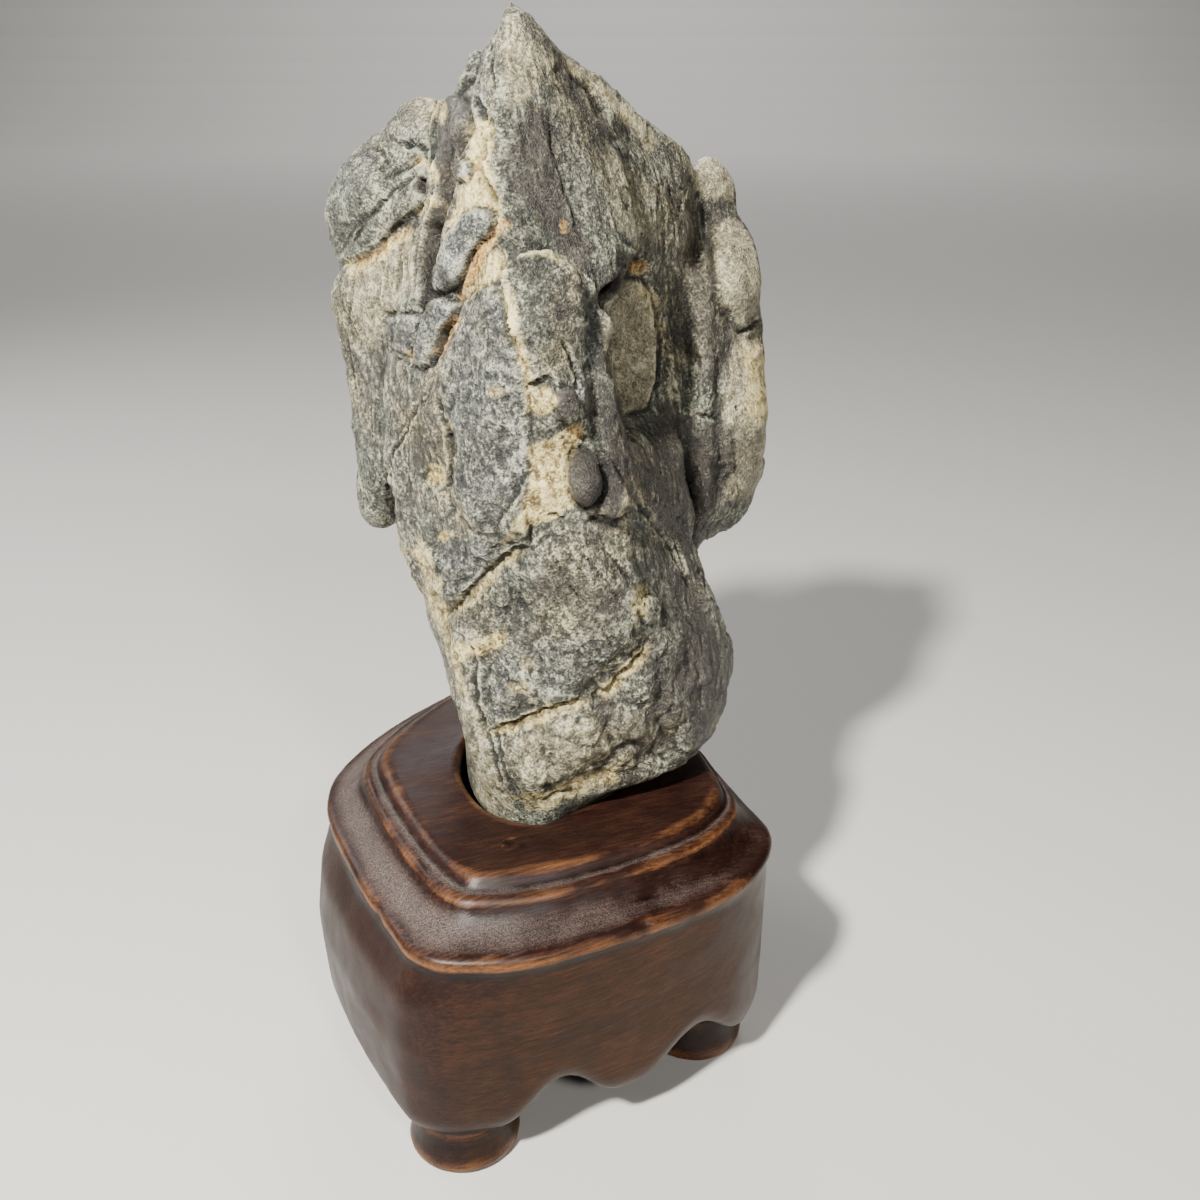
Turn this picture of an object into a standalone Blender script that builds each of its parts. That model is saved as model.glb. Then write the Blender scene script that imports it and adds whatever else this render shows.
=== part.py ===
"""A scholar's rock on its carved hardwood stand.

Two pieces: the stone, and the stand it rests in.  Lengths in the constants are millimetres and
become metres when a mesh is made.  X runs to the right, Y away from the pointed near corner of the
stand, Z up.
"""
import math

import bmesh
import bpy
from mathutils import Vector, noise

MM = 0.001

# Heights, from a level just above the floor; the finished pieces are lifted to stand on it
FOOT_BOTTOM = -1.6
TABLE_HEIGHT = 58.3
POCKET_FLOOR = 52.0
RECESS_CEILING = 27.0

# Plan of the stand: the widest line of its rim and the edge of its raised table
STAND_CENTRE = (-11.0, -6.0)
RIM_OUTLINE = [(-25, -62.3), (-9, -60.2), (14.5, -49), (28, -39), (34.7, -25), (30.5, -11.5),
               (14, 26), (-5, 47), (-24, 46), (-42, 30), (-55, 8), (-57.8, -12), (-47.2, -36.6),
               (-38, -52.3), (-33, -59.3)]
TABLE_OUTLINE = [(-19, -47.3), (-6, -44), (10, -36), (20.5, -26.5), (23.5, -16), (17, 5), (4, 24),
                 (-9, 35), (-23, 33), (-36, 16), (-45, -3), (-42.3, -17), (-32.5, -36), (-25, -46)]
OUTLINE_STEPS = 76
RIM_CORNERS = {"near": (-25, -62.3), "right": (34.7, -23), "back": (-12, 49), "left": (-58, -9)}

# Section of the stand from the pendant apron up to the table.  Each row is how far the line lies
# from the rim (0) towards the table edge (1), and its height; the apron's rows give their height
# above its lower edge.
APRON_THICKNESS = 0.62
APRON_SECTION = [(0.56, 0.5), (0.22, 0.0), (0.12, 1.0), (0.06, 4.0)]
WALL_SECTION = [(0.05, 30.0), (0.05, 40.0), (0.085, 46.6), (0.02, 47.5)]
MOULDING_SECTION = [(0.0, 48.9), (0.035, 50.2), (0.14, 50.2), (0.4, 51.3), (0.6, 53.7),
                    (0.635, 55.2), (0.73, 56.2), (0.83, 55.5), (0.93, 57.5), (0.99, TABLE_HEIGHT),
                    (1.05, TABLE_HEIGHT)]

# The apron's lower edge: low at the corners, with two arches to a side and a pendant between them.
# The left side was left fuller than the rest: its arches are shallow and its wall swells out.
APRON_CORNER_HEIGHT = 8.3
APRON_ARCHES = [(0.24, 0.17), (0.66, 0.2)]
APRON_ARCH_RISE = {"near": 8.6, "right": 8.0, "back": 8.0, "left": 2.0}
APRON_PENDANT = (0.45, 0.3)
APRON_PENDANT_RISE = 1.4
WALL_SWELL = {"near": -1.0, "right": 0.5, "back": 1.0, "left": 5.6}
SWELL_BY_HEIGHT = [(8.0, 0.75), (16.0, 0.95), (30.0, 1.0), (40.0, 0.7), (47.0, 0.0)]
SWELL_AT_CORNER = 0.15
SWELL_GROWTH = 1.25
SWELL_BLUNTNESS = 0.7

# Feet: low turned discs under the corners
FOOT_CENTRES = {"near": (-26.7, -51.0), "right": (20.0, -22.5), "back": (-13.0, 36.5),
                "left": (-46.5, -8.0)}
FOOT_PROFILE = [(10.3, FOOT_BOTTOM), (11.1, 0.0), (11.2, 4.5), (10.6, 7.2), (10.4, 8.6),
                (11.0, 10.5), (10.8, RECESS_CEILING + 1.0)]
FOOT_SIDES = 24

# The socket cut in the table, and the end of the stone that stands in it
POCKET_OUTLINE = [(-29.5, -9), (-23.5, -25.5), (-12.5, -31.8), (-4, -26.5), (6, -17), (13, -4),
                  (12, 10), (2, 21), (-12, 22), (-25, 13)]
POCKET_TAPER = 0.8
SOCKET_GAP = 1.2
REST_GAP = 0.4
SOCKET_END_CENTRE = (-10.0, -4.0)
SOCKET_END_ROWS = [(0.9, POCKET_FLOOR + REST_GAP), (1.0, 55.0), (1.0, 66.0)]

# The stone as overlapping masses, each the hull of its corners
ROCK_MASSES = {
    "base": [(-27, -9, 60), (-23, -25, 60), (-12, -31, 59), (-3, -27.5, 59.5), (8, -25, 62.5),
             (18, -20, 62.5), (22, -13, 63), (25, 2, 62), (21, 18, 62), (4, 28, 61),
             (-16, 24, 61), (-29, 10, 61), (-31.5, -7, 80), (-36, -6, 96), (-25.5, -27, 78),
             (-24, -25, 98), (-6, -30.5, 84), (-3, -31, 98), (9, -27, 98), (10, -26, 80),
             (19, -19, 80), (24.5, -12, 76), (27, 2, 76), (22, -6, 94), (25, 18, 84),
             (4, 33, 84), (-20, 29, 90), (-37, 12, 96), (-4, -24, 112), (14, -14, 108),
             (-34, -5, 108), (0, 24, 108), (20.5, 6, 99)],
    "front": [(-14, -12, 203.2), (-19.5, -13, 191), (-9, -10, 193.5), (-25, -9, 181),
              (-16, -25, 176), (-3, -8, 184), (-30.5, -9, 164), (-15, -31, 152), (3, -14, 163),
              (6, -6, 173), (-37, -6, 150), (-40.5, -5, 135), (-42, -5, 120), (-40, -6, 106),
              (-38, -7, 98), (-26, -24, 100), (-12, -31, 137), (-7, -31.5, 118), (5, -28, 103),
              (-0.5, -24, 152), (3.5, -23, 130), (10, -20, 108), (14, -12, 98), (-24, 14, 184),
              (0, 10, 184), (-34, 16, 150), (4, 12, 150), (-34, 16, 100), (10, 14, 100)],
    "second_tip": [(-22.5, 1, 196.5), (-26, -4, 184), (-18, -5, 190), (-19, 9, 190),
                   (-28, 8, 176), (-14, 5, 191), (-26, -6, 172)],
    "wing_left_top": [(-31, 13, 188.5), (-42, 15, 181), (-51.5, 15, 172), (-54.5, 16, 163),
                      (-53.5, 16, 156), (-44, 7, 158), (-33, 1, 164), (-27, 4, 184),
                      (-27, 26, 181), (-40, 27, 168), (-30, 24, 155)],
    "wing_left_low": [(-54, 15, 158), (-51.5, 14, 143), (-49, 12, 131), (-51, 12, 118),
                      (-50.5, 12, 107), (-46, 11, 102), (-43, 9, 108), (-38, 0, 124),
                      (-38, 0, 152), (-46, 8, 160), (-41, 26, 152), (-41, 24, 124),
                      (-42, 20, 108), (-28, 18, 140), (-34, 2, 166)],
    "back_slab": [(12, 15, 182), (0, 6, 190), (-7, 0, 193.5), (-10, -8, 196), (18, 20, 176),
                  (19, 28, 168), (-10, 16, 189), (-16, 28, 178), (9, 33, 174), (-22, 36, 152),
                  (16, 40, 140), (-20, 38, 112), (12, 36, 100), (-5, -4, 185), (9, 3, 170),
                  (12, 6, 158), (14, 6, 135), (13, 2, 112)],
    "wing_right": [(24, 20, 97), (34, 24, 102), (36.5, 25, 110), (35.5, 25, 124), (33, 24, 138),
                   (33.5, 26, 152), (31, 28, 162), (20, 10, 152), (19, 5, 132), (20, 4, 112),
                   (20, 8, 98), (30, 38, 158), (32, 39, 130), (28, 37, 104), (10, 38, 160),
                   (8, 40, 120), (6, 34, 96)],
    "knob_right": [(17, 27, 174), (20, 28, 177), (25, 29, 176), (28.5, 30, 170), (29, 30, 162),
                   (22, 22, 160), (19, 38, 168), (27, 38, 166), (16, 24, 158)],
    "bridge": [(7, -18, 123), (9, -18, 110), (12, -14, 98), (20, 2, 96), (20, 2, 110), (17, 3, 126),
               (8, 4, 130), (6, -6, 129), (4, 0, 100)],
    "front_slab": [(-15.5, -30.5, 158), (-9, -29.5, 162), (-4.5, -25, 161), (-2, -26.5, 150),
                   (-3.5, -30, 136), (-8, -32.5, 137), (-13, -32.5, 140), (-15, -32, 150),
                   (-8, -22, 150)],
}
ROCK_VOXEL = 1.5
ROCK_SMOOTHING = 3
ROCK_TRIANGLES = 5400

# Hollows: ellipsoids cut from the stone, each with its centre, its radii and its turn about Y and Z
ROCK_HOLLOWS = {
    "scoop": ((9.2, -5.0, 145.0), (8.5, 12.0, 16.5), -8.0, -30.0),
    "scoop_side": ((7.0, -17.0, 147.0), (6.8, 9.0, 17.0), 4.0, 0.0),
    "channel": ((27.0, 11.0, 158.0), (4.0, 8.0, 22.0), 2.0, -20.0),
    "fin_gap": ((-44.0, -4.0, 108.0), (2.4, 13.0, 14.0), 6.0, 0.0),
    "back_gap": ((4.0, -3.5, 184.5), (9.0, 2.0, 2.6), 40.0, 12.0),
    "waist": ((27.0, 0.0, 100.0), (7.0, 16.0, 5.5), 0.0, 0.0),
    "back_bay": ((-10.0, 44.0, 132.0), (15.0, 9.0, 24.0), 12.0, 10.0),
}

# Ledges and cracks: lines on the stone with how wide and how deep each one bites
ROCK_LINES = {
    "long_ledge": ([(-30.5, -16, 96), (-23, -24.5, 105), (-19.5, -27, 110), (-9.5, -31, 118)],
                   3.2, 2.0),
    "low_ledge": ([(-22.5, -27, 90), (-20.5, -28, 77.5), (-12, -29.5, 81), (0, -29, 86),
                   (8, -27, 94)], 3.0, 1.8),
    "wing_crease": ([(-52, 15, 156), (-42, 8, 161), (-35, 4, 165)], 3.4, 2.0),
    "crest": ([(-16, -18, 183), (-18, -21, 178), (-15.5, -26, 168), (-15, -29, 161)], 2.8, 1.2),
    "plate_edge": ([(-18, -25, 167), (-21.5, -22.5, 157.5), (-28, -14, 157), (-29, -10, 165)],
                   2.8, 1.4),
    "tongue_edge": ([(-24.5, -20, 154), (-30, -15.5, 143), (-35, -9, 146)], 2.8, 1.4),
    "slab_side": ([(-3.5, -26, 160.5), (-1.5, -24, 154), (0, -24, 148), (-1.5, -26.5, 139)],
                  2.8, 1.6),
    "right_seam": ([(16, 10, 152), (18, 8, 131), (20, 6, 115), (20, 3, 102)], 3.0, 1.4),
    "top_gap": ([(-1, -3, 186), (3.5, 1, 182), (10, 10, 178)], 2.6, 2.0),
    "back_ledge": ([(-34, 30, 140), (-12, 40, 128), (10, 40, 118), (24, 38, 120)], 3.4, 2.0),
    "back_seam": ([(-22, 34, 160), (-8, 38, 140), (-2, 38, 112), (4, 34, 84)], 3.0, 1.6),
}

# Knobs and swells: centre on the stone, reach and height
ROCK_KNOBS = {
    "oval": ((-2.8, -31.5, 127.5), 4.8, 2.6),
    "oval_mate": ((2.2, -29.0, 122.0), 3.6, 2.0),
    "slab_end": ((-5.0, -31.0, 140.0), 5.0, 1.6),
    "tip_knob": ((-22.5, -15.0, 175.5), 4.2, 1.6),
    "upper_plate": ((-23.5, -18.5, 163.0), 6.0, 1.8),
    "fin_end": ((-47.0, 12.0, 106.0), 4.5, 1.6),
    "wing_swell": ((-44.0, 9.0, 169.0), 8.0, 1.8),
    "low_swell": ((8.0, -27.0, 78.0), 9.0, 1.8),
    "outer_lump": ((28.5, 18.5, 154.0), 8.0, 2.0),
    "outer_swell": ((30.0, 17.0, 122.0), 10.0, 1.8),
    "brow": ((-8.0, -31.0, 108.0), 9.0, 1.4),
    "back_swell": ((-20.0, 36.0, 116.0), 13.0, 2.6),
    "back_knob": ((14.0, 40.0, 138.0), 8.0, 2.2),
}
FOLIATION = Vector((0.80, -0.52, 0.30)).normalized()
FOLIATION_SPACING = 7.5
FOLIATION_STEP = 0.8
FOLIATION_BEND = (16.0, 0.7)
FOLIATION_PATCHES = (12.0, 0.6)
LUMP_SIZE = 19.0
LUMP_HEIGHT = 1.5
DIMPLE_SIZE = 7.0
DIMPLE_HEIGHT = 0.75
DIMPLE_OFFSET = Vector((5.0, 2.0, 9.0))
PLAIN_BELOW = TABLE_HEIGHT + 1.0
PLAIN_FADE = 8.0


def clear_scene():
    for item in list(bpy.data.objects):
        bpy.data.objects.remove(item, do_unlink=True)


def make_material(name, colour, roughness):
    material = bpy.data.materials.new(name)
    material.use_nodes = True
    shader = material.node_tree.nodes["Principled BSDF"]
    shader.inputs["Base Color"].default_value = (*colour, 1.0)
    shader.inputs["Roughness"].default_value = roughness
    shader.inputs["Metallic"].default_value = 0.0
    return material


def make_object(name, bm, material=None):
    mesh = bpy.data.meshes.new(name)
    bm.to_mesh(mesh)
    bm.free()
    thing = bpy.data.objects.new(name, mesh)
    bpy.context.scene.collection.objects.link(thing)
    if material:
        mesh.materials.append(material)
    return thing


def evaluated_mesh(thing):
    bpy.context.view_layer.update()
    view = thing.evaluated_get(bpy.context.evaluated_depsgraph_get())
    return bpy.data.meshes.new_from_object(view)


def smooth_loop(points, per_span=16):
    """A closed smooth curve through the points, as many short chords."""
    curve = []
    count = len(points)
    for i in range(count):
        a, b, c, d = (Vector((*points[(i + k) % count], 0.0)) for k in (-1, 0, 1, 2))
        for step in range(per_span):
            t = step / per_span
            curve.append(0.5 * (2 * b + (c - a) * t + (2 * a - 5 * b + 4 * c - d) * t ** 2
                                + (3 * b - a - 3 * c + d) * t ** 3))
    return curve


def radius_at(curve, centre, angle):
    """How far from the centre the closed curve lies in the direction of the angle."""
    way = Vector((math.cos(angle), math.sin(angle)))
    side = Vector((-way.y, way.x))
    reach = 0.0
    for a, b in zip(curve, curve[1:] + curve[:1]):
        start = a.xy - centre
        end = b.xy - centre
        s0, s1 = start.dot(side), end.dot(side)
        if s0 * s1 <= 0.0 and s0 != s1:
            hit = start.lerp(end, s0 / (s0 - s1)).dot(way)
            reach = max(reach, hit)
    return reach


def stand_angles():
    """Directions from the stand's centre to even steps along its rim."""
    curve = smooth_loop(RIM_OUTLINE)
    centre = Vector(STAND_CENTRE)
    lengths = [0.0]
    for a, b in zip(curve, curve[1:] + curve[:1]):
        lengths.append(lengths[-1] + (b - a).length)
    closed = curve + curve[:1]
    angles = []
    span = 0
    for i in range(OUTLINE_STEPS):
        wanted = lengths[-1] * i / OUTLINE_STEPS
        while lengths[span + 1] < wanted:
            span += 1
        part = (wanted - lengths[span]) / (lengths[span + 1] - lengths[span])
        point = closed[span].lerp(closed[span + 1], part)
        angles.append(math.atan2(point.y - centre.y, point.x - centre.x))
    return angles


def side_fractions(angles):
    """For each direction, the side of the stand it meets and how far along that side it lies."""
    rim = smooth_loop(RIM_OUTLINE)
    centre = Vector(STAND_CENTRE)
    points = [centre + radius_at(rim, centre, a) * Vector((math.cos(a), math.sin(a)))
              for a in angles]
    names = list(RIM_CORNERS)
    starts = [min(range(len(points)), key=lambda i: (points[i] - Vector(RIM_CORNERS[name])).length)
              for name in names]
    found = [None] * len(points)
    for name, start, end in zip(names, starts, starts[1:] + starts[:1]):
        span = (end - start) % len(points)
        for step in range(span):
            found[(start + step) % len(points)] = (name, step / span)
    return found


def bump(value, centre, half_width):
    off = abs(value - centre) / half_width
    return 0.5 + 0.5 * math.cos(math.pi * off) if off < 1.0 else 0.0


def apron_height(side, along):
    """Height of the apron's lower edge on a side, at a place along it."""
    arches = sum(bump(along, *arch) for arch in APRON_ARCHES)
    pendant = APRON_PENDANT_RISE * bump(along, *APRON_PENDANT)
    return APRON_CORNER_HEIGHT + APRON_ARCH_RISE[side] * arches + pendant


def wall_swell(side, along, height):
    """How far the wall stands out past the plain section there, in millimetres."""
    share = SWELL_BY_HEIGHT[0][1]
    for (low, at_low), (high, at_high) in zip(SWELL_BY_HEIGHT, SWELL_BY_HEIGHT[1:]):
        if height >= low:
            share = at_low + (at_high - at_low) * min(1.0, (height - low) / (high - low))
    growth = SWELL_GROWTH * math.sin(math.pi * along) ** SWELL_BLUNTNESS
    return WALL_SWELL[side] * share * min(1.0, SWELL_AT_CORNER + growth)


def stand_rings():
    """The stand's rings of points, from the middle of its recess to the middle of its socket."""
    centre = Vector(STAND_CENTRE)
    rim = smooth_loop(RIM_OUTLINE)
    table = smooth_loop(TABLE_OUTLINE)
    pocket = smooth_loop(POCKET_OUTLINE)
    angles = stand_angles()
    ways = [Vector((math.cos(a), math.sin(a))) for a in angles]
    outer = [radius_at(rim, centre, a) for a in angles]
    inner = [radius_at(table, centre, a) for a in angles]
    hole = [radius_at(pocket, centre, a) for a in angles]
    sides = side_fractions(angles)
    edge = [apron_height(*side) for side in sides]

    def at(reach, way, height):
        spot = centre + reach * way
        return spot.x, spot.y, height

    def level_ring(part, height):
        return [at(o + (i - o) * part, way, height) for o, i, way in zip(outer, inner, ways)]

    def wall_ring(part, heights):
        return [at(o + (i - o) * part + wall_swell(*side, height), way, height)
                for o, i, way, side, height in zip(outer, inner, ways, sides, heights)]

    rings = [level_ring(APRON_THICKNESS, RECESS_CEILING)]
    rings += [wall_ring(part, [e + above for e in edge]) for part, above in APRON_SECTION]
    rings += [wall_ring(part, [height] * len(ways)) for part, height in WALL_SECTION]
    rings += [level_ring(part, height) for part, height in MOULDING_SECTION]
    rings += [[at(h, way, TABLE_HEIGHT) for h, way in zip(hole, ways)],
              [at(h - POCKET_TAPER, way, POCKET_FLOOR) for h, way in zip(hole, ways)]]
    return rings


def loft(rings):
    """A closed solid through the rings, with flat ends."""
    bm = bmesh.new()
    loops = [[bm.verts.new(Vector(p) * MM) for p in ring] for ring in rings]
    for low, high in zip(loops, loops[1:]):
        for i in range(len(low)):
            j = (i + 1) % len(low)
            bm.faces.new((low[i], low[j], high[j], high[i]))
    bm.faces.new(loops[0])
    bm.faces.new(loops[-1])
    bmesh.ops.recalc_face_normals(bm, faces=bm.faces)
    return bm


def turned_foot(name, centre):
    """A low disc with a slight waist, turned about its own upright axis."""
    bm = bmesh.new()
    corners = [bm.verts.new(Vector((radius, 0.0, height)) * MM) for radius, height in FOOT_PROFILE]
    edges = [bm.edges.new(pair) for pair in zip(corners, corners[1:])]
    bmesh.ops.spin(bm, geom=corners + edges, axis=(0, 0, 1), cent=(0, 0, 0),
                   angle=2 * math.pi, steps=FOOT_SIDES, use_merge=True)
    bmesh.ops.remove_doubles(bm, verts=bm.verts, dist=0.00001)
    bmesh.ops.holes_fill(bm, edges=bm.edges, sides=0)
    bmesh.ops.recalc_face_normals(bm, faces=bm.faces)
    foot = make_object(name, bm)
    foot.location = (centre[0] * MM, centre[1] * MM, 0.0)
    foot.hide_render = True
    foot.display_type = 'WIRE'
    return foot


def make_stand():
    wood = make_material("hardwood", (0.085, 0.03, 0.017), 0.42)
    stand = make_object("stand", loft(stand_rings()), wood)
    for place, centre in FOOT_CENTRES.items():
        union = stand.modifiers.new("foot " + place, 'BOOLEAN')
        union.operation = 'UNION'
        union.solver = 'EXACT'
        union.object = turned_foot("foot_" + place, centre)
    return stand


def hull(bm, corners):
    """Adds the convex hull of the corners to the mesh."""
    verts = [bm.verts.new(Vector(c) * MM) for c in corners]
    bmesh.ops.convex_hull(bm, input=verts)
    spare = [v for v in verts if not v.link_faces]
    bmesh.ops.delete(bm, geom=spare, context='VERTS')


def socket_end():
    """The stone's lower end: the socket's outline, drawn in by the gap around it."""
    centre = Vector(SOCKET_END_CENTRE)
    corners = []
    for point in smooth_loop(POCKET_OUTLINE, per_span=4):
        off = point.xy - centre
        inside = (off.length - SOCKET_GAP) / off.length
        for share, height in SOCKET_END_ROWS:
            spot = centre + off * inside * share
            corners.append((spot.x, spot.y, height))
    return corners


def hollow_cutter(name, centre, radii, turn_y, turn_z):
    bm = bmesh.new()
    bmesh.ops.create_icosphere(bm, subdivisions=4, radius=1.0)
    bmesh.ops.scale(bm, vec=Vector(radii) * MM, verts=bm.verts)
    cutter = make_object("hollow_" + name, bm)
    cutter.location = Vector(centre) * MM
    cutter.rotation_euler = (0.0, math.radians(turn_y), math.radians(turn_z))
    cutter.hide_render = True
    cutter.display_type = 'WIRE'
    return cutter


def distance_to_path(point, path):
    best = 1e9
    for a, b in zip(path, path[1:]):
        a = Vector(a)
        way = Vector(b) - a
        along = max(0.0, min(1.0, (point - a).dot(way) / way.length_squared))
        best = min(best, (point - a - way * along).length)
    return best


def weathering(point):
    """How far the weathered surface stands out from the plain masses at a point, in millimetres."""
    lumps = LUMP_HEIGHT * noise.noise(point / LUMP_SIZE)
    dimples = DIMPLE_HEIGHT * noise.noise(point / DIMPLE_SIZE + DIMPLE_OFFSET)
    size, bend = FOLIATION_BEND
    across = point.dot(FOLIATION) / FOLIATION_SPACING + bend * noise.noise(point / size)
    leaf = across - math.floor(across)
    size, share = FOLIATION_PATCHES
    ledges = FOLIATION_STEP * (1.0 - 2.0 * leaf) * (share + noise.noise(point / size))
    return lumps + dimples + ledges


def carved(point):
    """Ledges, cracks and knobs at a point, in millimetres."""
    relief = 0.0
    for path, width, depth in ROCK_LINES.values():
        off = distance_to_path(point, path) / width
        if off < 1.0:
            relief -= depth * (1.0 - off * off)
    for centre, reach, height in ROCK_KNOBS.values():
        off = (point - Vector(centre)).length / reach
        if off < 1.0:
            relief += height * (1.0 - off * off) ** 0.5
    return relief


def weather(bm):
    """Moves the surface of the stone out and in by its weathering, but not in the socket."""
    bm.normal_update()
    moves = []
    for vert in bm.verts:
        point = vert.co / MM
        free = max(0.0, min(1.0, (point.z - PLAIN_BELOW) / PLAIN_FADE))
        moves.append(vert.normal * (weathering(point) * free + carved(point) * free) * MM)
    for vert, move in zip(bm.verts, moves):
        vert.co += move
    bmesh.ops.smooth_vert(bm, verts=bm.verts, factor=0.3, use_axis_x=True, use_axis_y=True,
                          use_axis_z=True)


def make_rock():
    bm = bmesh.new()
    for corners in list(ROCK_MASSES.values()) + [socket_end()]:
        hull(bm, corners)
    rough = make_object("rough_stone", bm)
    for number in (1, 2):
        remesh = rough.modifiers.new("even surface %d" % number, 'REMESH')
        remesh.mode = 'VOXEL'
        remesh.voxel_size = ROCK_VOXEL * MM
        if number == 1:
            for name, shape in ROCK_HOLLOWS.items():
                cut = rough.modifiers.new(name, 'BOOLEAN')
                cut.operation = 'DIFFERENCE'
                cut.solver = 'EXACT'
                cut.object = hollow_cutter(name, *shape)
    bm = bmesh.new()
    bm.from_mesh(evaluated_mesh(rough))
    rough.hide_render = True
    rough.display_type = 'WIRE'
    for _ in range(ROCK_SMOOTHING):
        bmesh.ops.smooth_vert(bm, verts=bm.verts, factor=0.5, use_axis_x=True, use_axis_y=True,
                              use_axis_z=True)
    weather(bm)
    bmesh.ops.triangulate(bm, faces=bm.faces)
    ratio = ROCK_TRIANGLES / len(bm.faces)
    stone = make_material("slate stone", (0.2, 0.195, 0.17), 0.62)
    rock = make_object("rock", bm, stone)
    thin = rock.modifiers.new("fewer faces", 'DECIMATE')
    thin.ratio = ratio
    return rock


def stand_on_origin(pieces):
    """Puts the middle of the pieces' common box over the origin, and the feet on the floor."""
    low = [1e9, 1e9]
    high = [-1e9, -1e9]
    for piece in pieces:
        mesh = evaluated_mesh(piece)
        for vert in mesh.vertices:
            for axis in (0, 1):
                low[axis] = min(low[axis], vert.co[axis])
                high[axis] = max(high[axis], vert.co[axis])
    middle = bpy.data.objects.new("middle", None)
    bpy.context.scene.collection.objects.link(middle)
    for thing in list(bpy.data.objects):
        if thing is not middle and thing.parent is None:
            thing.parent = middle
    middle.location = (-(low[0] + high[0]) / 2, -(low[1] + high[1]) / 2, -FOOT_BOTTOM * MM)


clear_scene()
stand_on_origin([make_stand(), make_rock()])
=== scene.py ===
import math

import bmesh
import bpy
import numpy as np
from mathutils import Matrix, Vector, noise
from mathutils.bvhtree import BVHTree


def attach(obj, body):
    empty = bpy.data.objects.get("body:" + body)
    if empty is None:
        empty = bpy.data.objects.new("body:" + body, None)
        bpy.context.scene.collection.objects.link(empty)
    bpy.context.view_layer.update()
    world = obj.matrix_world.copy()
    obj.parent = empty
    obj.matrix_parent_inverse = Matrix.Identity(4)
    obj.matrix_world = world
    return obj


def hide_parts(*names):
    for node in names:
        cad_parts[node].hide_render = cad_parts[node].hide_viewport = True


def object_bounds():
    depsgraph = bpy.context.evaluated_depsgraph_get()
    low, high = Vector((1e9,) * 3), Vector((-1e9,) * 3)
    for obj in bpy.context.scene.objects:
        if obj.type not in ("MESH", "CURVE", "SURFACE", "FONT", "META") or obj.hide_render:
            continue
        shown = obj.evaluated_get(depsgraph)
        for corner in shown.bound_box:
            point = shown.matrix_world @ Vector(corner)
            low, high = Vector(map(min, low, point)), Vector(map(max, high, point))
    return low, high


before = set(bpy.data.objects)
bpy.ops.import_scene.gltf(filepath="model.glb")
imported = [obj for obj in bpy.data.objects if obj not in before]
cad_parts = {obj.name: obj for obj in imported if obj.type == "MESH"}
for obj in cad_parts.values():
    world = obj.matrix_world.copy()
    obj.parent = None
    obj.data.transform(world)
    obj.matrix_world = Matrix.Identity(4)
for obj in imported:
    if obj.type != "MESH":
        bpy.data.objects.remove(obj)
cadBox = [list(corner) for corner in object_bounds()]

mm = 0.001
# The stand was drawn about its own corner points; this carries those millimetres to the frame
drawnShift = np.array((12.03, 7.47, 1.6))
floorLevel = -drawnShift[2]

camera = {
    "place": (0.0, -225.8, 191.6),      # drawn millimetres
    "pitch": 24.0,
    "lens": 36.0,
    "sensor": 36.0,
    "side": 1200.0,
}


# small tools shared by the pieces

def toFrame(points):
    return (np.asarray(points, dtype=float) + drawnShift) * mm


def fromFrame(points):
    return np.asarray(points, dtype=float) / mm - drawnShift


def pixelsOf(points):
    # where drawn points land in the picture
    pitch = math.radians(camera["pitch"])
    ahead = np.array((0.0, math.cos(pitch), -math.sin(pitch)))
    upward = np.array((0.0, math.sin(pitch), math.cos(pitch)))
    off = points - np.array(camera["place"])
    depth = off @ ahead
    half = camera["side"] / 2
    reach = camera["side"] * camera["lens"] / camera["sensor"]
    return np.stack((half + reach * off[:, 0] / depth, half - reach * (off @ upward) / depth), axis=1)


def curveThrough(points, perSpan, closed=False):
    # a smooth curve through the points
    p = np.asarray(points, dtype=float)
    if closed:
        p = np.vstack((p[-1:], p, p[:2]))
    elif len(p) > 2:
        p = np.vstack((2 * p[0] - p[1], p, 2 * p[-1] - p[-2]))
    else:
        return p
    t = (np.arange(perSpan) / perSpan)[:, None]
    spans = [0.5 * (2 * b + (c - a) * t + (2 * a - 5 * b + 4 * c - d) * t ** 2
                    + (3 * b - a - 3 * c + d) * t ** 3)
             for a, b, c, d in zip(p, p[1:], p[2:], p[3:])]
    return np.concatenate(spans if closed else spans + [p[-2:-1]])


def unit(value):
    return np.clip(value, 0.0, 1.0)


def fade(value, low, high):
    # 0 below low, 1 above high, smooth between
    t = unit((value - low) / (high - low))
    return t * t * (3.0 - 2.0 * t)


def fadeEnds(along, share):
    # 1 along a line, 0 at its two ends
    return fade(along, 0.0, share) * fade(1.0 - along, 0.0, share)


def noiseAt(points, size, offset=0.0):
    # smooth noise, about -1 to 1, with lumps of that size
    return np.array([noise.noise(Vector(p)) for p in points / size + offset])


def drawnNoise(points, size, long, way, offset=0.0):
    # noise drawn out along a direction
    along = np.array(way) / np.linalg.norm(way)
    run = points @ along
    return noiseAt(points - run[:, None] * along * (1.0 - 1.0 / long), size, offset)


def layered(points, layers):
    # a sum of noises, each with its height, size and offset
    return sum(high * noiseAt(points, size, offset) for high, size, offset in layers)


def stray(points, size, *offsets):
    # a noise across and a noise down
    return np.stack([noiseAt(points, size, offset) for offset in offsets], axis=1)


def readVectors(items, what):
    flat = np.empty(len(items) * 3, dtype=np.float32)
    items.foreach_get(what, flat)
    return flat.reshape(-1, 3).astype(float)


def readShape(mesh):
    # the points in drawn millimetres, and the normals
    return fromFrame(readVectors(mesh.vertices, "co")), readVectors(mesh.vertex_normals, "vector")


def writePoints(mesh, points):
    mesh.vertices.foreach_set("co", np.asarray(points, dtype=np.float32).ravel())
    mesh.update()


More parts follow.
